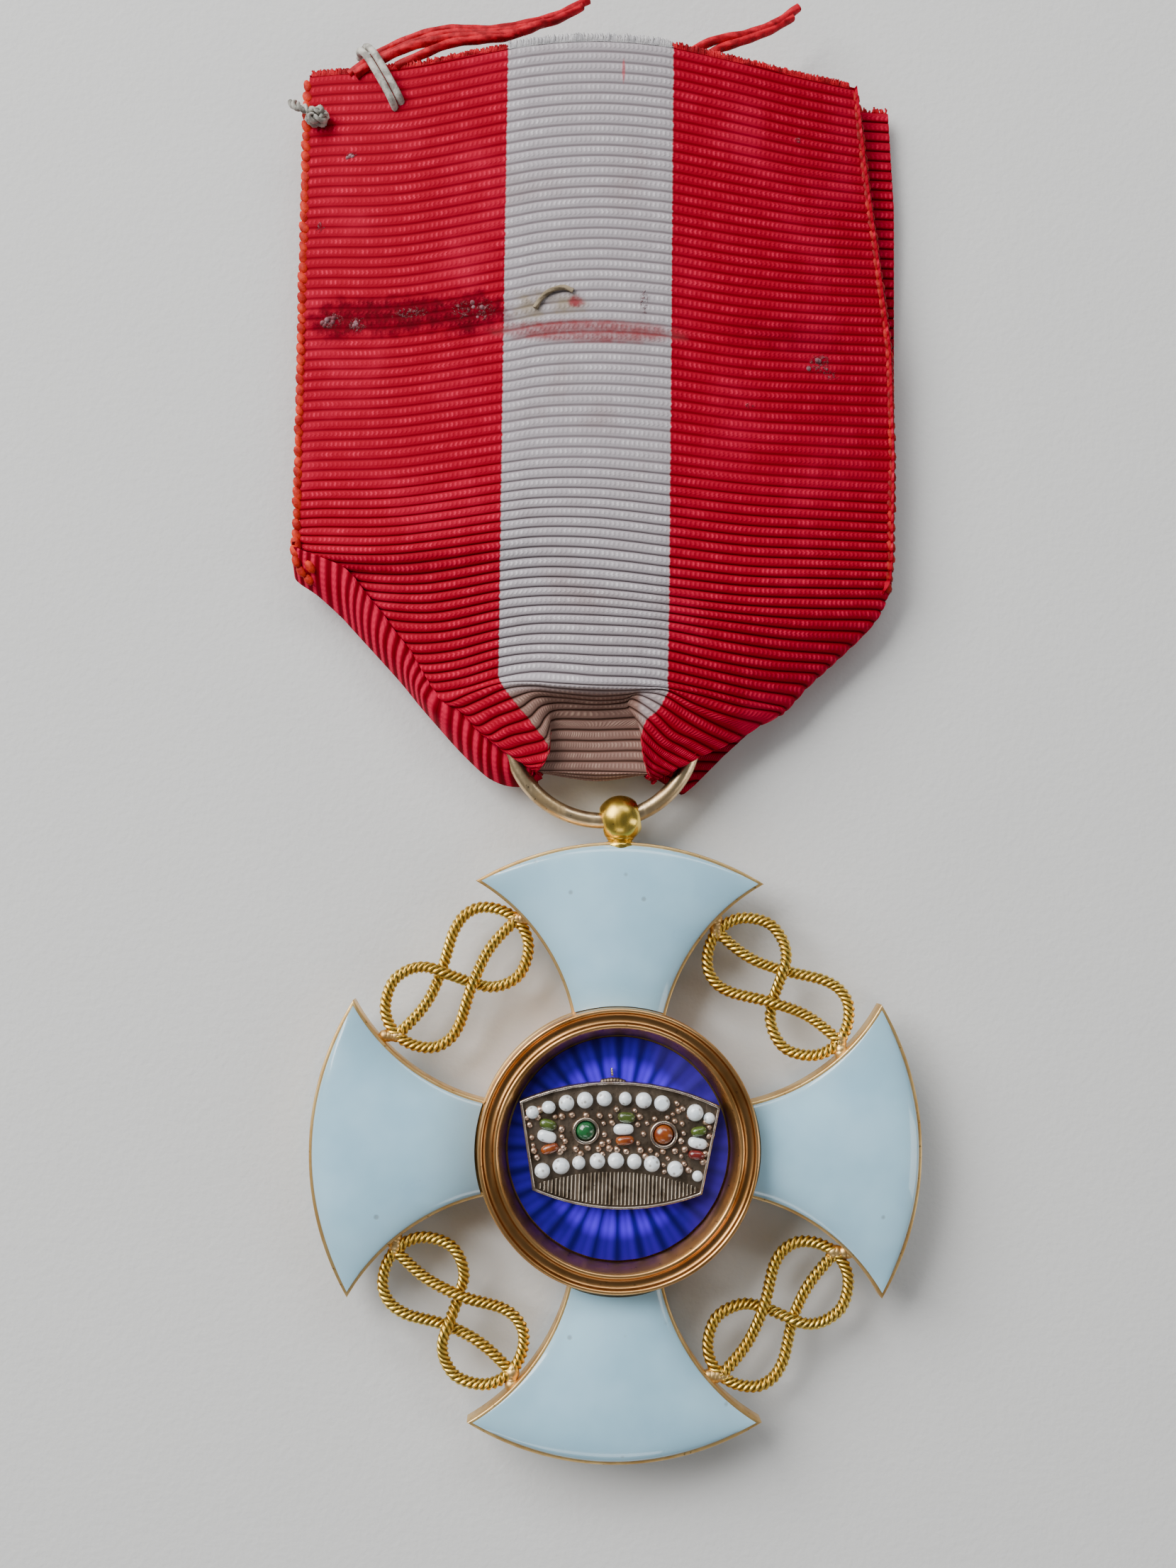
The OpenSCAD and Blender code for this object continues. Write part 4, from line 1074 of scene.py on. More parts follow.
print("ribbon")
ribbonLook = {
    "thick": 0.38, "groove": 0.13, "topRib": -63.2, "edgeZ": 2.1, "bow": 3.4, "leftStripe": -7.6,
    "rightStripe": 2.65,
    # how far along the ribbon some ribs lie
    "rows": {-59: 65.24, -50: 59.29, -40: 52.77, -30: 46.27, -21: 40.45, -16: 37.41, -10: 33.74, -8: 32.66,
             -6: 31.54, -4: 30.29, -2: 29.09, 0: 27.85},
    # how far the ribs hang at these places across, by rib
    "archAt": [-20, -14.5, -12, -10, -8, -6, -2, 2, 6.5, 9, 12, 16.8],
    "arch": {
        -59: [-1.08, -1.43, -1.38, -1.09, -0.64, -0.33, 0, -0.05, -0.5, -0.7, -0.86, -0.6],
        -40: [-1.1, -1.5, -1.3, -1.06, -0.78, -0.39, 0, -0.11, -0.48, -0.55, -0.4, 0.1],
        -30: [-1.12, -1.28, -1.12, -0.94, -0.62, -0.27, 0, -0.09, -0.46, -0.5, -0.3, 0.12],
        -21: [-0.94, -1.08, -1.05, -0.8, -0.4, -0.12, 0, -0.24, -0.56, -0.62, -0.54, -0.31],
        -16: [-0.74, -0.94, -0.97, -0.74, -0.31, -0.05, 0, -0.33, -0.7, -0.76, -0.62, -0.38],
        -10: [-0.46, -0.63, -0.78, -0.62, -0.2, 0.04, 0, -0.33, -0.72, -0.79, -0.68, -0.36],
        -8: [-0.51, -0.73, -0.9, -0.7, -0.26, -0.01, 0, -0.28, -0.72, -0.94, -0.91, -0.67],
        -6: [-1.2, -1.08, -1.0, -0.8, -0.33, 0.0, 0, -0.18, -0.82, -1.08, -1.12, -1.12],
        -4: [-1.54, -1.18, -1.02, -0.76, -0.22, 0.05, 0, -0.13, -0.88, -1.12, -1.1, -1.07],
        -2: [-1.64, -1.22, -1.03, -0.73, -0.18, 0.15, 0, -0.14, -0.9, -1.25, -1.38, -1.5],
    },
    # each edge: height along the ribbon, place across
    "leftEdge": [
        (26.7, -11.15), (27.45, -11.8), (28.32, -12.35), (30, -13.4), (30.85, -14.15), (32.03, -14.95),
        (33.03, -15.8), (34.34, -16.8), (35.0, -17.5), (35.35, -18.4), (35.7, -19.3), (36.1, -19.95),
        (36.8, -20.15), (50, -20.25), (62, -20.3), (68.5, -20.2),
    ],
    "rightEdge": [
        (26.7, 9.77), (27.78, 10.78), (28.68, 11.54), (29.68, 12.65), (31.28, 14.34), (32.33, 15.4),
        (33.46, 16.1), (34.8, 16.6), (36.5, 16.8), (43, 16.9), (50, 16.7), (56, 15.9), (62, 15.1),
        (68.5, 14.4),
    ],
    # the pinch over the ring, one row for each rib from the crease down: x, y, z at twelve places across
    "pinch": [
        [(-11.14, 26.7, 2.6), (-9.24, 27.48, 3.6), (-7.42, 28.02, 4.4), (-5.66, 28.08, 4.8),
         (-3.87, 27.95, 5), (-1.74, 27.85, 5.1), (0.2, 27.85, 5), (1.49, 27.84, 4.9), (2.7, 27.79, 4.8),
         (5.01, 27.39, 4.2), (7.42, 26.9, 3.4), (9.77, 26.71, 2.4)],
        [(-10.34, 26.4, 2.7), (-8.8, 27.01, 3.6), (-7.2, 27.63, 4.4), (-5.66, 27.8, 4.6),
         (-3.86, 27.65, 4.7), (-1.71, 27.56, 4.7), (0.09, 27.59, 4.7), (1.51, 27.7, 4.7),
         (2.71, 27.63, 4.7), (4.58, 26.86, 4.2), (6.86, 26.25, 3.4), (8.63, 25.99, 2.42)],
        [(-9.72, 25.91, 2.8), (-8.23, 26.53, 3.7), (-6.76, 27.08, 4.4), (-5.48, 27.48, 4.5),
         (-3.85, 27.4, 4.3), (-1.69, 27.27, 4.2), (0.07, 27.38, 4.3), (1.21, 27.53, 4.6),
         (2.54, 27.32, 4.7), (4.01, 26.53, 4.3), (5.76, 25.78, 3.5), (7.48, 25.2, 2.5)],
        [(-9.1, 25.26, 2.9), (-7.71, 26.0, 3.7), (-6.28, 26.48, 4.4), (-5.26, 27.16, 4.3),
         (-3.84, 27.19, 3.9), (-1.67, 27.06, 3.8), (0.06, 27.17, 3.9), (0.88, 27.41, 4.5),
         (2.29, 26.76, 4.7), (3.71, 25.92, 4.3), (5.32, 25.16, 3.6), (6.63, 24.71, 2.75)],
        [(-8.48, 24.69, 3), (-7.2, 25.4, 3.8), (-5.76, 25.89, 4.4), (-4.95, 26.66, 4.2),
         (-3.87, 26.92, 3.6), (-1.66, 26.84, 3.5), (0.08, 26.99, 3.6), (0.55, 27.17, 4.3),
         (1.91, 26.32, 4.7), (3.16, 25.26, 4.3), (4.44, 24.74, 3.8), (5.65, 24.24, 3.1)],
        [(-7.99, 24.34, 3.1), (-6.74, 24.85, 3.8), (-5.24, 25.21, 4.4), (-4.64, 26.07, 4.1),
         (-3.95, 26.5, 3.5), (-1.64, 26.56, 3.3), (0.13, 26.65, 3.5), (0.39, 26.67, 4.1),
         (1.44, 25.93, 4.7), (2.73, 24.78, 4.3), (3.78, 24.29, 3.85), (4.76, 23.83, 3.4)],
        [(-7.38, 23.86, 3.2), (-6.08, 24.26, 3.8), (-4.76, 24.61, 4.4), (-4.42, 25.43, 4),
         (-4.07, 25.94, 3.4), (-1.63, 26, 3.2), (0.53, 26.1, 3.4), (0.8, 25.91, 4), (1.19, 25.37, 4.6),
         (2.22, 24.35, 4.2), (3.22, 23.85, 3.85), (4.18, 23.45, 3.6)],
        [(-6.72, 23.43, 3.3), (-5.6, 23.66, 3.8), (-4.49, 23.98, 4.3), (-4.36, 24.62, 3.9),
         (-4.24, 25.28, 3.4), (-1.62, 25.35, 3.15), (0.93, 25.41, 3.4), (1.07, 25.18, 3.9),
         (1.12, 24.78, 4.5), (2.02, 23.92, 4.1), (2.71, 23.45, 3.8), (3.43, 23.08, 3.55)],
        [(-6.02, 23.04, 3.4), (-5.25, 23.15, 3.8), (-4.65, 23.34, 4.2), (-4.44, 24.02, 3.8),
         (-4.36, 24.63, 3.4), (-1.62, 24.69, 3.15), (1.11, 24.76, 3.4), (1.17, 24.46, 3.8),
         (1.17, 24.06, 4.4), (1.82, 23.37, 4), (2.41, 23.05, 3.75), (2.98, 22.8, 3.5)],
        [(-5.59, 22.82, 3.5), (-5.24, 22.9, 3.7), (-4.9, 22.96, 4), (-4.65, 23.51, 3.7),
         (-4.52, 23.97, 3.4), (-1.61, 24.04, 3.15), (1.16, 24.1, 3.4), (1.23, 23.73, 3.7),
         (1.33, 23.34, 4.2), (1.74, 22.98, 3.9), (2.15, 22.75, 3.7), (2.58, 22.62, 3.2)],
        [(-5.41, 22.74, 3.5), (-5.24, 22.77, 3.6), (-5.07, 22.8, 3.8), (-4.86, 23.08, 3.6),
         (-4.73, 23.36, 3.4), (-1.6, 23.43, 3.15), (1.25, 23.45, 3.4), (1.42, 23.09, 3.6),
         (1.57, 22.81, 3.9), (1.79, 22.65, 3.8), (2.03, 22.53, 3.6), (2.31, 22.47, 3.3)],
        [(-5.37, 22.7, 3.4), (-5.24, 22.69, 3.5), (-5.15, 22.69, 3.6), (-5.07, 22.74, 3.5),
         (-4.98, 22.79, 3.4), (-1.59, 22.82, 3.1), (1.35, 22.76, 3.4), (1.56, 22.62, 3.5),
         (1.77, 22.49, 3.6), (1.9, 22.45, 3.6), (1.99, 22.41, 3.5), (2.1, 22.38, 3.3)],
    ],
    "cells": [4, 6, 8, 4, 4, 5, 5, 4, 4, 6, 6, 6, 2, 2, 2],  # columns between two places across
    "ribShape": [0.0, 0.09, 0.25, 0.5, 0.75, 0.91],  # where each rib has its rows of points
    "wrapRows": 6, "wrapLow": 1.15, "wrapTail": (0.0, 0.6, -0.12),
    "wrapBulge": ([-5.0, -4.4, 0.9, 1.3], [0.08, 0.55, 0.55, 0.08]),
    "rollEnds": [(0.22, -0.2, -0.4), (0.16, -0.3, -0.85), (-0.3, -0.2, -1.1)],
    "squareEnds": [(0.04, 0, -0.01), (0.08, 0, -0.02), (0.12, 0, -0.03)],
    # by rib: the sides draw in, the hem and the roll start and end, and the cloth is gathered
    "shoulder": (-13, 0), "hemFold": ((-18, -14), (10, 5), 0.0), "roll": ((-13, -11), (3, -1), 0.22),
    "gatherFrom": 5, "gatherOver": 4,
}


def ramp(x, low, high):  # 0 at low, 1 at high, straight between
    return min(1.0, max(0.0, (x - low) / (high - low)))


def riseAndFall(j, rise, fall, least):  # up over the ribs of rise, then down to least over those of fall
    return ramp(j, *rise) * max(least, ramp(j, *fall))


# Twelve places across the front layer on rib j, above the crease.
def flatRow(j):
    look = ribbonLook
    ribs = sorted(look["rows"])
    middle = float(smoothLine(ribs, [look["rows"][k] for k in ribs], [j])[0])
    known = sorted(look["arch"])
    arch = smoothLine(known, [look["arch"][k] for k in known], [max(j, known[0])])[0]

    def height(x):
        return middle + float(smoothLine(look["archAt"], arch, [x])[0])

    ends = []
    for edge, x in ((look["leftEdge"], -18.0), (look["rightEdge"], 15.0)):
        ys, xs = zip(*edge)
        for _ in range(6):
            x = float(np.interp(height(x), ys, xs))
        ends.append(x)
    left, right = ends
    a, b = look["leftStripe"], look["rightStripe"]
    across = [left, (left + a) / 2, a, -5.66, -3.87, -1.74, 0.2, 1.49, b]
    across += [b + (right - b) / 3, b + (right - b) * 2 / 3, right]
    fold = ramp(j, *look["shoulder"])
    base, bow = look["edgeZ"] + 0.35 * fold, look["bow"] - 0.8 * fold
    row = []
    for x in across:
        u = (2 * x - left - right) / (right - left)
        row.append((x, height(x), base + bow * (1 - u * u)))
    return row


# The row with its left end drawn up to the hem, and its right end rolled under, where the sides are folded.
def withFolds(j, row):
    look = ribbonLook
    fold, roll = riseAndFall(j, *look["hemFold"]), riseAndFall(j, *look["roll"])
    beside = row[0] + (row[1] - row[0]) * 0.22 + (0, 0.04, 0.22 * fold)
    row[0] += np.array((-0.3, 0.42, -0.2)) * fold
    steps = np.array(look["rollEnds"]) * roll if roll > 0.05 else np.array(look["squareEnds"])
    return np.array([row[0], beside, *row[1:], *(row[-1] + steps)])


# Rows of the front layer, one for each rib, down to where it turns over the ring.
def frontRows():
    top = math.floor(ribbonLook["topRib"])
    rows = [flatRow(j) for j in range(top, 0)] + ribbonLook["pinch"]
    return top, np.array([withFolds(j, np.array(row, float)) for j, row in zip(range(top, 99), rows)])


def ribHeight(rib):  # 0 in the groove between two ribs, 1 on a rib
    f = np.mod(rib, 1.0)
    return np.sqrt(np.clip(1 - (2 * f - 1) ** 2, 0, 1)) ** 0.9


# Closed cloth shell over a grid, ribbed on its outer side. across is each point's place on the flat ribbon.
def clothShell(grid, ribs, across, thick, groove, innerGroove=0.0):
    rows, columns = grid.shape[:2]
    along, beside = np.gradient(grid, axis=0), np.gradient(grid, axis=1)
    normals = np.cross(along, beside)
    normals /= np.maximum(np.linalg.norm(normals, axis=2, keepdims=True), 1e-9)
    relief = ((ribHeight(ribs) - 1) * groove)[:, None, None]
    under = (thick + (ribHeight(ribs) - 1) * innerGroove)[:, None, None]
    top, low = grid + normals * relief, grid - normals * under
    n = rows * columns
    faces = [tuple(reversed(face)) for face in gridFaces(rows, columns)]
    faces += [tuple(k + n for k in face) for face in gridFaces(rows, columns)]
    faces += [(a, b, b + n, a + n) for a, b in gridRim(rows, columns)]
    spread = np.stack([across, np.repeat(ribs[:, None], columns, axis=1)], axis=2).reshape(-1, 2)
    return np.concatenate([top.reshape(-1, 3), low.reshape(-1, 3)]), faces, np.concatenate([spread, spread])


def subRibs(first, last):  # places along the ribs, several on each rib
    places = {first, last} | {j + f for j in range(math.floor(first), last) for f in ribbonLook["ribShape"]}
    return np.array(sorted({round(p, 4) for p in places if p >= first}))


def wrapRows(last):  # the rows that turn under the last one, round the ring and back
    look = ribbonLook
    radius = (last[:, 2] - look["wrapLow"]) / 2
    bulge = np.interp(last[:, 0], *look["wrapBulge"])
    wrapped = []
    for k in range(1, look["wrapRows"] + 1):
        a = math.pi * k / look["wrapRows"]
        row = last.copy()
        row[:, 0] = last[:, 0] * (1 - 0.02 * k)
        row[:, 1] = last[:, 1] - bulge * radius * math.sin(a) + 0.12 * k * (a > 2)
        row[:, 2] = look["wrapLow"] + radius + radius * math.cos(a)
        wrapped.append(row)
    tail = np.array(look["wrapTail"])
    return np.array(wrapped + [wrapped[-1] + k * tail for k in (1, 2)])


def addSilk(name, points, faces, spread):
    return addPiece(name, points, faces, silk, "ribbon", ["ribbon"], sharp=75, clothMap=spread)


def makeFront():
    look = ribbonLook
    top, rows = frontRows()
    rows = np.concatenate([rows, wrapRows(rows[-1])])
    index = np.arange(top, top + len(rows))
    cells = look["cells"]
    places = np.concatenate([k + np.arange(n) / n for k, n in enumerate(cells)] + [[len(cells)]])
    ribs = subRibs(look["topRib"], int(index[-1]))

    def fill(rowTable):  # rows at the places across, drawn out over every rib and column
        stations = smoothLine(index, rowTable, ribs)
        return np.stack([smoothLine(np.arange(len(cells) + 1), row, places) for row in stations])

    grid = fill(rows)
    flat = rows[: 1 - top, :, 0]
    flat = np.concatenate([flat, np.repeat(flat[-1:], len(rows) - len(flat), axis=0)])
    flat[:, 3], flat[:, 9] = look["leftStripe"], look["rightStripe"]
    for k in range(7 - top, len(flat)):  # low on the flaps the walls under them are red too
        flat[k, 4], flat[k, 5], flat[k, 7], flat[k, 8] = -8.6, -7.2, 2.1, 3.6
    chance = np.random.default_rng(4)
    grid[0, :, 1] += chance.uniform(-0.04, 0.04, grid.shape[1])
    gathered = np.clip((ribs - look["gatherFrom"]) / look["gatherOver"], 0, 1)
    groove = look["groove"] * (0.5 + 0.5 * np.clip((ribs + 24) / 12, 0, 1)) * (1 - 0.5 * gathered)
    thick = look["thick"] * (1 - 0.75 * gathered)
    return addSilk("ribbonFront", *clothShell(grid, ribs, fill(flat), thick, groove))


rearLook = {
    "z": 0.62, "thick": 0.42, "groove": 0.13, "top": 66.9, "low": 21.6, "pitch": 0.65, "columns": 56,
    "sag": 0.25, "middleX": -1.4, "halfWidth": 18, "ripple": 0.05, "pinchY": 26.0, "pinchRise": 0.25,
    "redFrom": (31, 23), "redStretch": 1.4,  # low down, where only the red sides show, the map is stretched
    "leftEdge": [
        (22.3, -7.3), (23.3, -8.6), (24.5, -9.7), (25.7, -10.9), (26.8, -12), (28.2, -13.1),
        (29.9, -14.7), (31.3, -16), (32.5, -17.2), (33.7, -18.4), (34.6, -19.4), (36, -20.1),
        (66.9, -20.1),
    ],
    "rightEdge": [
        (21.5, 3.9), (21.9, 4.7), (23.9, 6.5), (26.65, 9.2), (27.8, 10.5), (29.7, 12.4), (31.3, 14.1),
        (32.3, 15.2), (33.5, 16.3), (35, 17.2), (41, 17.4), (60, 17.4), (66.9, 17),
    ],
    "corners": ([-7.3, -5.8, 1.6, 2.6, 3.9, 4.7], [22.3, 22.9, 22.9, 22.4, 21.6, 21.9]),
}


def rearSag(x):  # how far the rear layer's ribs hang at x
    return rearLook["sag"] * ((x - rearLook["middleX"]) / rearLook["halfWidth"]) ** 2


def makeRear():
    look = rearLook
    ribs = subRibs(0, int((look["top"] - look["low"]) / look["pitch"]))
    grid, across = [], []
    for y in look["low"] + ribs * look["pitch"]:
        left, right = (float(np.interp(y, *zip(*look[edge]))) for edge in ("leftEdge", "rightEdge"))
        xs = np.linspace(left, right, look["columns"])
        near = ramp(y, look["pinchY"], look["low"])
        ys = y + near * (np.interp(xs, *look["corners"]) - look["low"]) - rearSag(xs)
        ripple = look["ripple"] * np.sin(xs * 0.35 + y * 0.11) * np.sin(y * 0.17)
        zs = look["z"] + ripple + look["pinchRise"] * near
        grid.append(np.stack([xs, ys, zs], axis=1))
        across.append(xs * (1 + look["redStretch"] * ramp(y, *look["redFrom"])))
    shell = clothShell(np.array(grid), ribs, np.array(across), look["thick"], 0.0, look["groove"])
    points, faces, spread = shell
    return addSilk("ribbonRear", points, [tuple(reversed(face)) for face in faces], spread)


# The strip of the folded side along the lower left edge: a steep rib from the end of each rib of the front.
hemLook = {
    "first": -16, "last": 11, "columns": 12, "crown": 0.5, "innerZ": 2.35, "outerZ": 1.25, "thick": 0.4,
    "groove": 0.26,
    "phases": ([-20, -17.6, -15.1, -13, 11], [-16, -15, -14, -13, 11]),  # its own ribs, by rib of the front
    "lean": ([-16, -14, -13, -10, 0, 3, 6, 8, 11], [0.0, 0.25, 0.3, 0.3, 0.25, 0.3, 0.35, 0.3, 0.1]),
    "outer": [
        (-20.35, 36.4), (-20.2, 35.4), (-19.7, 34.6), (-18.9, 34.05), (-18.1, 33.4), (-17.0, 32.35),
        (-16.0, 31.3), (-14.87, 30.1), (-13.3, 28.4), (-12.17, 27.05), (-11.05, 25.8), (-9.93, 24.55),
        (-8.81, 23.45), (-7.91, 22.7), (-7.1, 22.35), (-5.0, 22.45),
    ],
    "flatPlaces": (-25, -28),  # past the ribbon's own width, so that the silk knows the strip
}


def makeHem():
    look = hemLook
    top, rows = frontRows()
    index = np.arange(look["first"], look["last"] + 1)
    inner = rows[index - top, 0] + (0.12, 0.0, 0.0)
    xs = inner[:, 0] + np.interp(index, *look["lean"])
    outer = np.stack([xs, smoothLine(*zip(*look["outer"]), xs)], axis=1)
    ribs = subRibs(look["phases"][0][0], look["last"])
    places = np.interp(ribs, *look["phases"])
    start, end = smoothLine(index, inner[:, :2], places), smoothLine(index, outer, places)
    shares = np.sin(np.linspace(0, 1, look["columns"]) * math.pi / 2) ** 1.2
    grid, across = [], []
    for j, a, b in zip(places, start, end):
        fade = min(1.0, 0.3 + (j - look["first"]) / 6) * min(1.0, (look["last"] - j) / 5 + 0.25)
        row = []
        for s in shares:
            rise = look["crown"] * fade * math.sin(math.pi * s) ** 0.8
            row.append((*(a + (b - a) * s), look["innerZ"] * (1 - s) + look["outerZ"] * s + rise))
        grid.append(row)
        across.append(np.linspace(*look["flatPlaces"], look["columns"]))
    shell = clothShell(np.array(grid), ribs, np.array(across), look["thick"], look["groove"])
    return addSilk("hemStrip", *shell)


silkLook = {
    # each colour has a painted highlight and a painted shade beside it
    "red": (0.32, 0.0, 0.014), "redHighlight": (0.7, 0.012, 0.06), "redShade": (0.1, 0.0, 0.003),
    "white": (0.4, 0.355, 0.375), "whiteHighlight": (0.68, 0.63, 0.65), "whiteShade": (0.12, 0.09, 0.1),
    "tan": (0.19, 0.082, 0.052), "tanHighlight": (0.45, 0.28, 0.21), "tanShade": (0.028, 0.013, 0.009),
    "glue": (0.1, 0.001, 0.005), "residue": (0.24, 0.1, 0.11), "rust": (0.24, 0.045, 0.05),
    "olive": (0.24, 0.18, 0.1), "fibre": (0.5, 0.08, 0.1), "warp": 0.29,
    # spots: middle and half size in millimetres
    "glueSpots": [((-14.0, 50.8), (6.9, 1.6)), ((-17.6, 50.8), (2.9, 1.7)), ((-9.7, 50.7), (3.1, 1.8))],
    "residueSpots": [
        ((-18.3, 50.8), (0.75, 0.55)), ((-16.8, 50.4), (0.6, 0.55)), ((-13.4, 50.9), (1.2, 0.4)),
        ((-10.1, 51.0), (0.85, 0.6)), ((-8.8, 50.9), (0.6, 0.75)), ((0.95, 51.5), (0.3, 0.8)),
        ((12.1, 48.5), (0.7, 0.85)), ((12.9, 47.9), (0.5, 0.4)), ((7.6, 45.4), (0.35, 0.2)),
        ((-17.4, 61.3), (0.4, 0.22)), ((-19.3, 56.9), (0.3, 0.4)), ((10.7, 62.9), (0.3, 0.2)),
    ],
    "rustStreak": ((-2.3, 49.55), (7.0, 0.9)), "rustDot": ((-3.2, 51.4), (0.6, 0.5)),
    "oliveHaze": [((-6.0, 51.0), (1.5, 1.5)), ((-3.9, 51.2), (1.7, 1.1))],
    "redFibre": ((-0.45, 66.1), (0.12, 0.95)), "faded": ((10.0, 50.0), (6.0, 1.6)),
}


def millimetres(tree, place):  # from the middle of the cross, as the tables are
    scaled = tree.node("ShaderNodeVectorMath", {"operation": "SCALE"}, {0: place, "Scale": 1 / mm})
    return tree.vector("SUBTRACT", scaled, tuple(crossMiddle))


def spotMask(tree, local, spot, soft=0.5, ragged=0.5, scale=1.3):  # 1 inside a ragged oval, 0 outside
    (x, y), (halfX, halfY) = spot
    gap = tree.vector("SUBTRACT", local, (x, y, 0.0))
    gap = tree.vector("MULTIPLY", gap, (1 / halfX, 1 / halfY, 0.0))
    edge = (tree.noise(local, scale, 3.0) - 0.5) * ragged * 2.0
    return 1 - tree.ease(tree.length(gap) + edge, 1 - soft, 1.0)


def spotMasks(tree, local, spots, soft, ragged, scale=1.3):
    masks = 0.0
    for spot in spots:
        masks = tree.larger(masks, spotMask(tree, local, spot, soft, ragged, scale))
    return masks


# The ribbon's silk: X of its map is the place across the flat ribbon, Y counts the ribs.
def silkFinish():
    look = silkLook
    material, tree = newMaterial("ribbedSilk")
    spread = tree.node("ShaderNodeUVMap", {"uv_map": "clothMap"})
    flat = tree.apart(spread)
    across, rib = flat.of("X"), flat.of("Y")
    place = tree.objectPlace()
    local = millimetres(tree, place)

    # ribs and threads: painted shade in the grooves between the ribs and painted highlights along their
    # crests, both stronger low down and on the hem strip
    groove = 1 - tree.ease(((rib.fraction() - 0.5).size() - 0.5) * -1.0, 0.0, 0.2)
    crest = tree.ease(0.5 - (rib.fraction() - 0.45).size(), 0.18, 0.42)
    fray = tree.noise(tree.stretch(spread, (0.1, 3.0, 1.0)), 1.0, 2.0)
    across = across + (fray - 0.5) * 0.22
    left, right = ribbonLook["leftStripe"], ribbonLook["rightStripe"]
    white = tree.ease(across, left - 0.05, left + 0.05) * (1 - tree.ease(across, right - 0.05, right + 0.05))
    threads = ((across * (2 * math.pi / look["warp"])).sine() + 1.0) * 0.5
    own = tree.together(across * 0.85, rib.maths("FLOOR", rib) * 7.3)
    slub = tree.noise(own, 1.0, 3.0, 0.65)
    patch = tree.noise(place, 190.0, 4.0)
    light = crest * (0.12 + threads * threads * 0.88) * (0.25 + tree.ease(slub, 0.42, 0.66) * 0.75)
    low = tree.ease(rib, -24.0, -10.0)
    strip = 1 - tree.ease(across, -23.0, -22.5)
    gap = 1 - tree.ease(0.5 - (rib.fraction() - 0.5).size(), 0.1, 0.36)
    grooveShade = tree.larger(groove * (0.55 + low * 0.35), strip * gap * 0.7)
    light = tree.larger(light * (1.0 + low * 0.4), strip * crest * 0.95)

    # red, and the white stripe, each with painted highlights on its ribs and painted shade in its grooves;
    # random paler patches on the red take the highlight colour too. The stripe turns brown where it is
    # pinched, partly a stain and partly painted shade in the recess
    red = tree.layered(
        look["red"], (light, look["redHighlight"]), (tree.ease(patch, 0.45, 0.8) * 0.35, look["redHighlight"]),
        (grooveShade, look["redShade"]),
    )
    beside = tree.ease(tree.apart(local).of("X"), 0.75, 1.25) * (1 - tree.ease(rib, 4.0, 7.0))
    # brown of the pinched stripe: partly a stain, partly painted shade in the recess below the crease
    pinchStainAndShade = tree.ease(rib, -0.6, 2.4) * (1 - beside * 0.6)
    pale = tree.layered(
        look["white"], (light, look["whiteHighlight"]), (tree.ease(patch, 0.5, 0.85) * 0.4, look["tan"]),
        (groove * (0.72 + low * 0.15), look["whiteShade"]), (pinchStainAndShade * 0.86, look["tan"]),
        (pinchStainAndShade * light * 0.7, look["tanHighlight"]), (pinchStainAndShade * groove * 0.8, look["tanShade"]),
    )

    # old glue, rust and dirt
    mottle = tree.ease(tree.noise(local, 2.1, 4.0, 0.7), 0.3, 0.62)
    stain = spotMasks(tree, local, look["glueSpots"], 0.6, 0.5)
    haze = spotMasks(tree, local, look["oliveHaze"], 0.9, 0.7)
    smear = spotMask(tree, local, look["rustStreak"], 0.45, 0.2) * (0.85 + groove * 0.15)
    smear = tree.larger(smear, spotMask(tree, local, look["rustDot"], 0.6, 0.6)) * (0.65 + mottle * 0.35)
    fibre = spotMask(tree, local, look["redFibre"], 0.5, 0.2)
    faded = spotMask(tree, local, look["faded"], 1.0, 0.5)
    speckle = tree.ease(tree.noise(local, 5.5, 3.0, 0.7), 0.47, 0.6)
    residue = spotMasks(tree, local, look["residueSpots"], 0.5, 0.75, 2.4)
    colour = tree.layered(
        red, (white, pale), (stain * (0.6 + mottle * 0.38), look["glue"]), (haze * 0.65, look["olive"]),
        (smear, look["rust"]), (fibre * 0.7, look["fibre"]), (faded * 0.35, look["glue"]),
        (residue * speckle * 0.7, look["residue"]),
    )
    height = threads * crest * 0.6 + slub * 0.3 + residue * speckle * 2.0
    shadeWith(tree, {
        "Base Color": colour, "Roughness": 0.6 - light * 0.16 + stain * 0.1 + residue * 0.2,
        "Sheen Weight": 0.02, "Sheen Roughness": 0.4, "Sheen Tint": (1.0, 0.4, 0.45),
        "Specular IOR Level": 0.03, "Normal": tree.bump(height, 0.00004),
    })
    return material


silk = silkFinish()


def threadFinish(name, bright, dull):
    material, tree = newMaterial(name)
    place = tree.objectPlace()
    cloud = tree.noise(place, 1500.0, 3.0)
    shadeWith(tree, {
        "Base Color": tree.mix(tree.ease(cloud, 0.35, 0.65), bright, dull), "Roughness": 0.6,
        "Specular IOR Level": 0.2, "Normal": tree.bump(tree.noise(place, 5200.0, 2.0), 0.00003),
    })
    return material


threadColours = {
    "picotThread": ((0.66, 0.03, 0.008), (0.34, 0.004, 0.003)),
    # a darker copy of the picot thread, a painted shade for the right side
    "shadedPicotThread": ((0.45, 0.014, 0.01), (0.2, 0.002, 0.003)),
    "redThread": ((0.62, 0.004, 0.02), (0.28, 0.0, 0.006)),
    "greyThread": ((0.56, 0.53, 0.47), (0.25, 0.23, 0.2)),
    "driedGlue": ((0.28, 0.14, 0.16), (0.16, 0.035, 0.045)),
    "fibreThread": ((0.3, 0.23, 0.15), (0.16, 0.12, 0.07)),
    "fringeThread": ((0.66, 0.63, 0.63), (0.5, 0.48, 0.49)),
}
threads = {name: threadFinish(name, *colours) for name, colours in threadColours.items()}

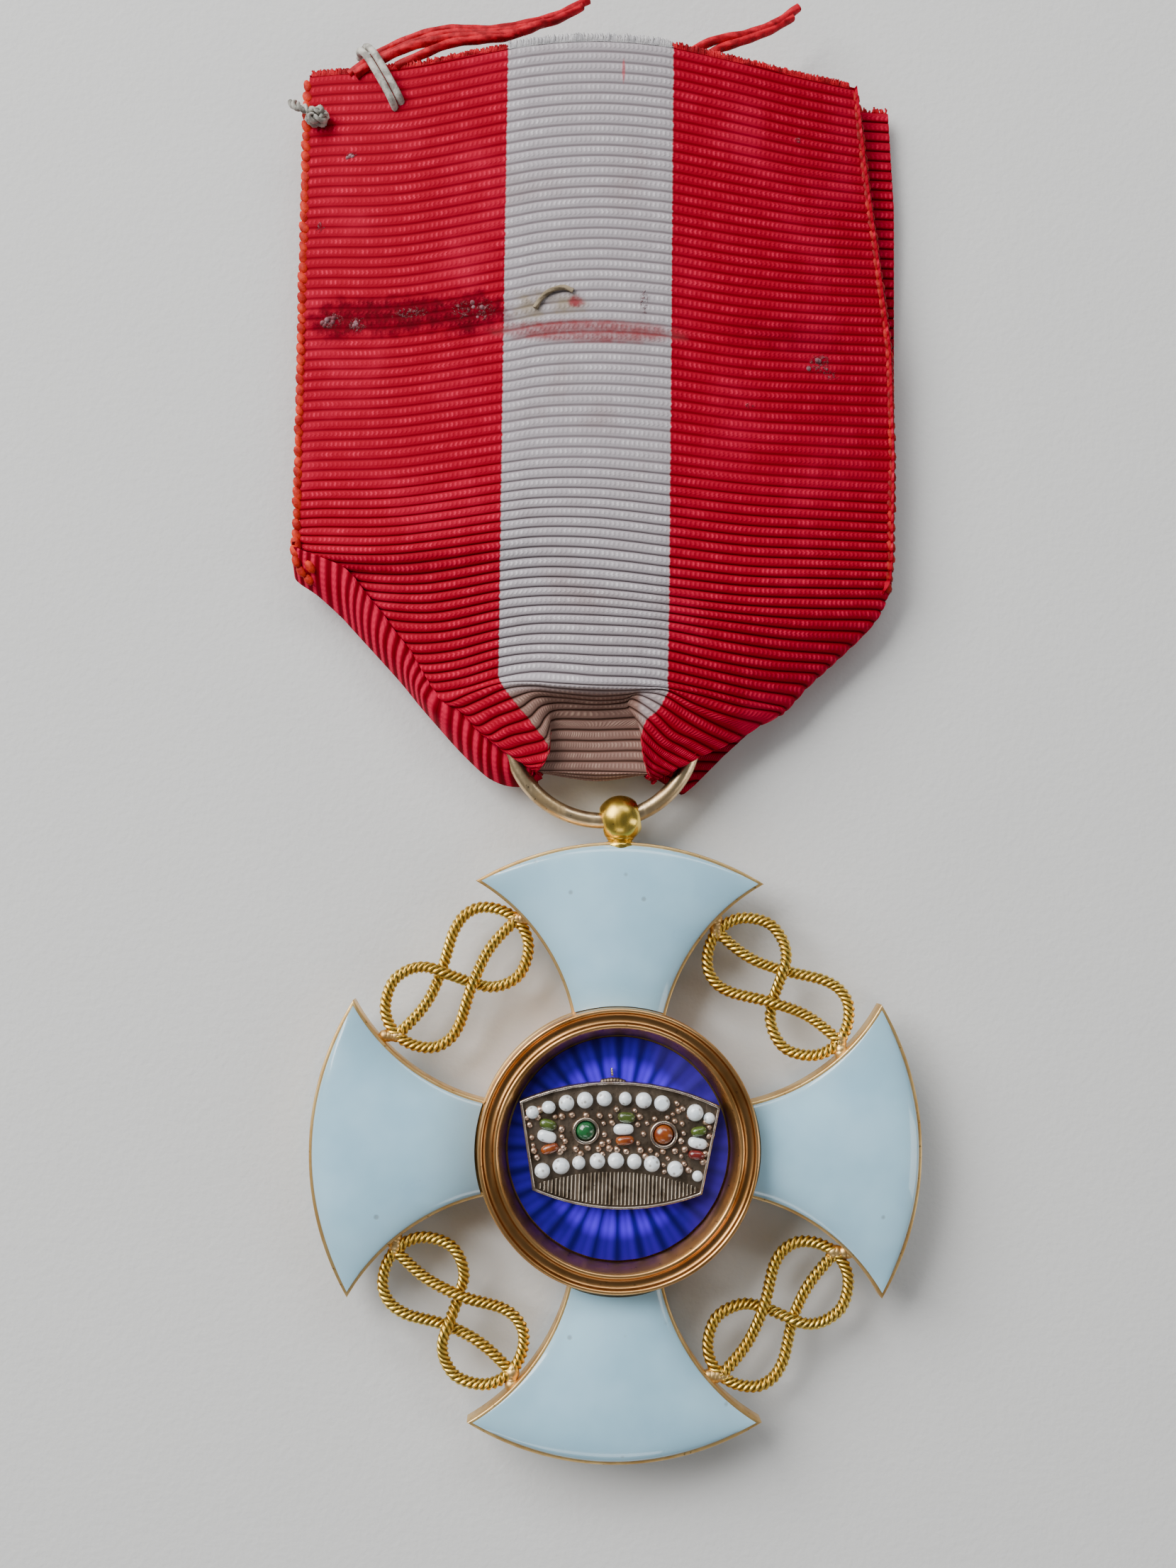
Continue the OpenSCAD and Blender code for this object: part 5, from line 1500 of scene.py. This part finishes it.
front, rear, hem = makeFront(), makeRear(), makeHem()

edgeLook = {
    "sizes": {"Pitch": 0.00065, "Radius": 0.00034},
    "left": [(-20.32, y, 2.0) for y in np.linspace(66.2, 37.0, 40)],
    "right": [(float(np.interp(y, *zip(*ribbonLook["rightEdge"]))) + 0.1, y, 1.95)
              for y in np.linspace(66.6, 34.8, 40)],
    "turn": [(-20.3, 37.0, 2.1), (-20.32, 36.1, 2.55), (-20.1, 35.25, 2.45), (-19.5, 34.6, 2.1)],
    "inside": [(-19.35, 35.25, 2.6), (-19.2, 35.1, 2.62), (-19.05, 34.98, 2.6), (-18.9, 34.86, 2.55)],
}


def smoothPath(line, count):  # count points on the smooth curve through a line's own points
    return smoothLine(range(len(line)), line, np.linspace(0, len(line) - 1, count))


def manyLines(lines):  # points and edges of several lines as one carrier
    points, edges = [], []
    for line in lines:
        edges += chain(len(line), len(points))
        points += np.asarray(line, float).tolist()
    return points, edges


# The selvedge's loops down both sides, and round the left shoulder onto the hem.
def makeEdges():
    look = edgeLook
    leftSide = look["left"] + smoothPath(look["turn"], 10)[1:].tolist()
    left = manyLines([leftSide, smoothPath(look["inside"], 4)])
    bright = growOnRibbon("picotEdge", picots, *left, look["sizes"], threads["picotThread"])
    right = manyLines([look["right"]])
    # the right side's loops take the darker copy of the thread as painted shade
    return bright, growOnRibbon("picotEdge_right", picots, *right, look["sizes"], threads["shadedPicotThread"])


picotEdge, rightEdge = makeEdges()

fringeLook = {  # fibres' count, length, thickness and lean, the spans across that they fill, and their thread
    "paleFringe": ((700, 0.0005, 0.00007, 0.3), [(-7.5, 2.5)], "fringeThread"),
    "redFringe": ((700, 0.00042, 0.00006, 0.5), [(-20.0, -7.7), (2.7, 14.2)], "redThread"),
    "rearFringe": ((260, 0.00045, 0.00006, 0.5), [(-20.0, -7.7), (2.7, 16.9)], "redThread"),
    "rearFringe_pale": ((260, 0.00045, 0.00006, 0.5), [(-7.5, 2.5)], "fringeThread"),
}


def frontCut(x):  # where the front layer's cut end lies at x
    xs, ys, zs = zip(*flatRow(ribbonLook["topRib"]))
    return (x, float(np.interp(x, xs, ys)) - 0.12, float(np.interp(x, xs, zs)) - 0.06)


def rearCut(x):
    return (x, 66.38 - rearSag(x), 0.82)


def makeFringe(name, cut, count):
    numbers, spans, thread = fringeLook[name]
    sizes = dict(zip(("Count", "Length", "Thickness", "Lean"), numbers))
    lines = manyLines([[cut(x) for x in np.linspace(*span, count)] for span in spans])
    return growOnRibbon(name, frayed, *lines, sizes, threads[thread])


paleFringe, redFringe = makeFringe("paleFringe", frontCut, 12), makeFringe("redFringe", frontCut, 12)
rearFringe, rearFringePale = makeFringe("rearFringe", rearCut, 8), makeFringe("rearFringe_pale", rearCut, 8)

glueLook = {
    "sizes": {"Radius": 0.00014, "Spread": 0.5},
    "spots": [  # middle, number of lumps and their spread
        (-18.45, 50.75, 8, 0.22), (-16.8, 50.4, 3, 0.14), (-8.9, 51.0, 5, 0.35), (12.1, 48.4, 4, 0.3),
        (-17.4, 61.3, 3, 0.12),
    ],
}
flatRows = [np.array(flatRow(j)) for j in range(-62, 0)]


def clothPoint(x, y):  # a point on the front layer's surface
    near = min(flatRows, key=lambda row: abs(float(np.interp(x, row[:, 0], row[:, 1])) - y))
    return (x, y, float(np.interp(x, near[:, 0], near[:, 2])) - 0.06)


def makeGlue():
    chance = np.random.default_rng(8)
    points = []
    for x, y, count, spread in glueLook["spots"]:
        for _ in range(count):
            dx, dy = chance.normal(0, spread, 2)
            points.append(clothPoint(x + dx, y + dy * 0.7))
    return growOnRibbon("glueSpots", grains, points, [], glueLook["sizes"], threads["driedGlue"])


threadLook = {
    "stitch": {"Step": 0.0002, "Strand": 0.00023, "Apart": 0.00025, "Turn": 1.0},
    "stitchLine": [
        (-16.9, 68.3, 2.2), (-16.75, 68.15, 3.2), (-16.2, 67.3, 4.2), (-15.3, 65.75, 4.5),
        (-14.6, 64.5, 4.4), (-14.3, 64.05, 3.5),
    ],
    "lump": {"Step": 0.00012, "Strand": 0.00017, "Apart": 0.00015, "Turn": 0.0011},
    "lumpMiddle": (-19.55, 63.8, 3.0),
    "tailLine": [(-19.9, 64.0, 3.2), (-20.5, 64.3, 3.1), (-20.95, 64.55, 2.8), (-21.2, 64.9, 2.5)],
    "fibre": {"Step": 0.0002, "Ridge": 0.00017, "Valley": 0.00014, "Turn": 0.004},
    "fibreLine": [(-5.7, 50.9), (-5.35, 51.5), (-4.75, 52.0), (-4.0, 52.2), (-3.4, 52.0)],
    "loose": {"Step": 0.0002, "Ridge": 0.00029, "Valley": 0.00026, "Turn": 0.0065},
    "looseLines": [
        [(-17.6, 66.6, 2.9), (-15.8, 67.85, 3.2), (-13.4, 68.9, 3.5), (-11.3, 69.4, 3.6),
         (-8.8, 69.45, 3.6), (-6.6, 70.0, 3.4), (-4.5, 70.9, 3.0), (-2.6, 72.2, 2.6)],
        [(-17.2, 66.4, 3.3), (-15.5, 67.5, 3.5), (-13.2, 68.5, 3.7), (-11.3, 69.0, 3.8),
         (-8.9, 69.1, 3.8), (-6.7, 69.7, 3.5), (-4.7, 70.5, 3.1), (-3.0, 71.7, 2.7)],
        [(-14.6, 66.7, 3.9), (-12.8, 67.5, 4.1), (-11.2, 68.2, 4.1), (-9.4, 68.5, 4.1), (-7.6, 68.9, 3.9),
         (-6.0, 69.9, 3.4)],
        [(-16.0, 67.0, 3.6), (-13.9, 67.95, 3.9), (-11.3, 68.6, 4.0), (-9.0, 68.8, 4.0),
         (-7.0, 69.2, 3.8), (-5.4, 70.2, 3.3)],
        [(3.2, 67.4, 4.6), (4.4, 68.3, 4.5), (5.7, 69.0, 4.2), (7.4, 69.6, 3.8), (9.3, 70.6, 3.4),
         (10.8, 71.9, 3.0)],
        [(4.6, 67.3, 4.5), (5.4, 68.2, 4.3), (6.8, 68.9, 4.0), (8.8, 70.0, 3.5), (10.4, 71.2, 3.1)],
    ],
}


def makeThreads():
    look = threadLook
    stitch = manyLines([smoothPath(look["stitchLine"], 30)])
    pale = growOnRibbon("paleStitches", twisted, *stitch, look["stitch"], threads["greyThread"])
    fibre = smoothPath([clothPoint(x, y) for x, y in look["fibreLine"]], 24) + (0, 0, 0.16)
    strand = growOnRibbon("strayFibre", rope, *manyLines([fibre]), look["fibre"], threads["fibreThread"])
    a = np.linspace(0, 5.2 * math.pi, 60)
    x, y, z = 0.42 * np.cos(a) + 0.1 * np.sin(a * 2.3), 0.34 * np.sin(a), 0.3 * np.cos(a * 0.62)
    lump = np.stack([x, y, z], axis=1) + look["lumpMiddle"]
    knotLines = manyLines([lump, smoothPath(look["tailLine"], 14)])
    knot = growOnRibbon("paleKnot", twisted, *knotLines, look["lump"], threads["greyThread"])
    looseLines = manyLines([smoothPath(line, 12 * len(line)) for line in look["looseLines"]])
    loose = growOnRibbon("looseThreads", rope, *looseLines, look["loose"], threads["redThread"])
    return pale, knot, loose, strand


paleStitches, paleKnot, looseThreads, strayFibre = makeThreads()
glueSpots = makeGlue()

# The crown's plate and the plain back keep their own solids
for name, metal in (("crown_band", "darkSilver"), ("back_bezel", "roseGold"), ("back_plate", "polishedGold")):
    carried = next(o for o in bpy.data.objects if o.name == name)
    carried.data.materials.clear()
    carried.data.materials.append(metals[metal])
    carried.data.polygons.foreach_set("use_smooth", [True] * len(carried.data.polygons))
    carried.data.set_sharp_from_angle(angle=math.radians(35))
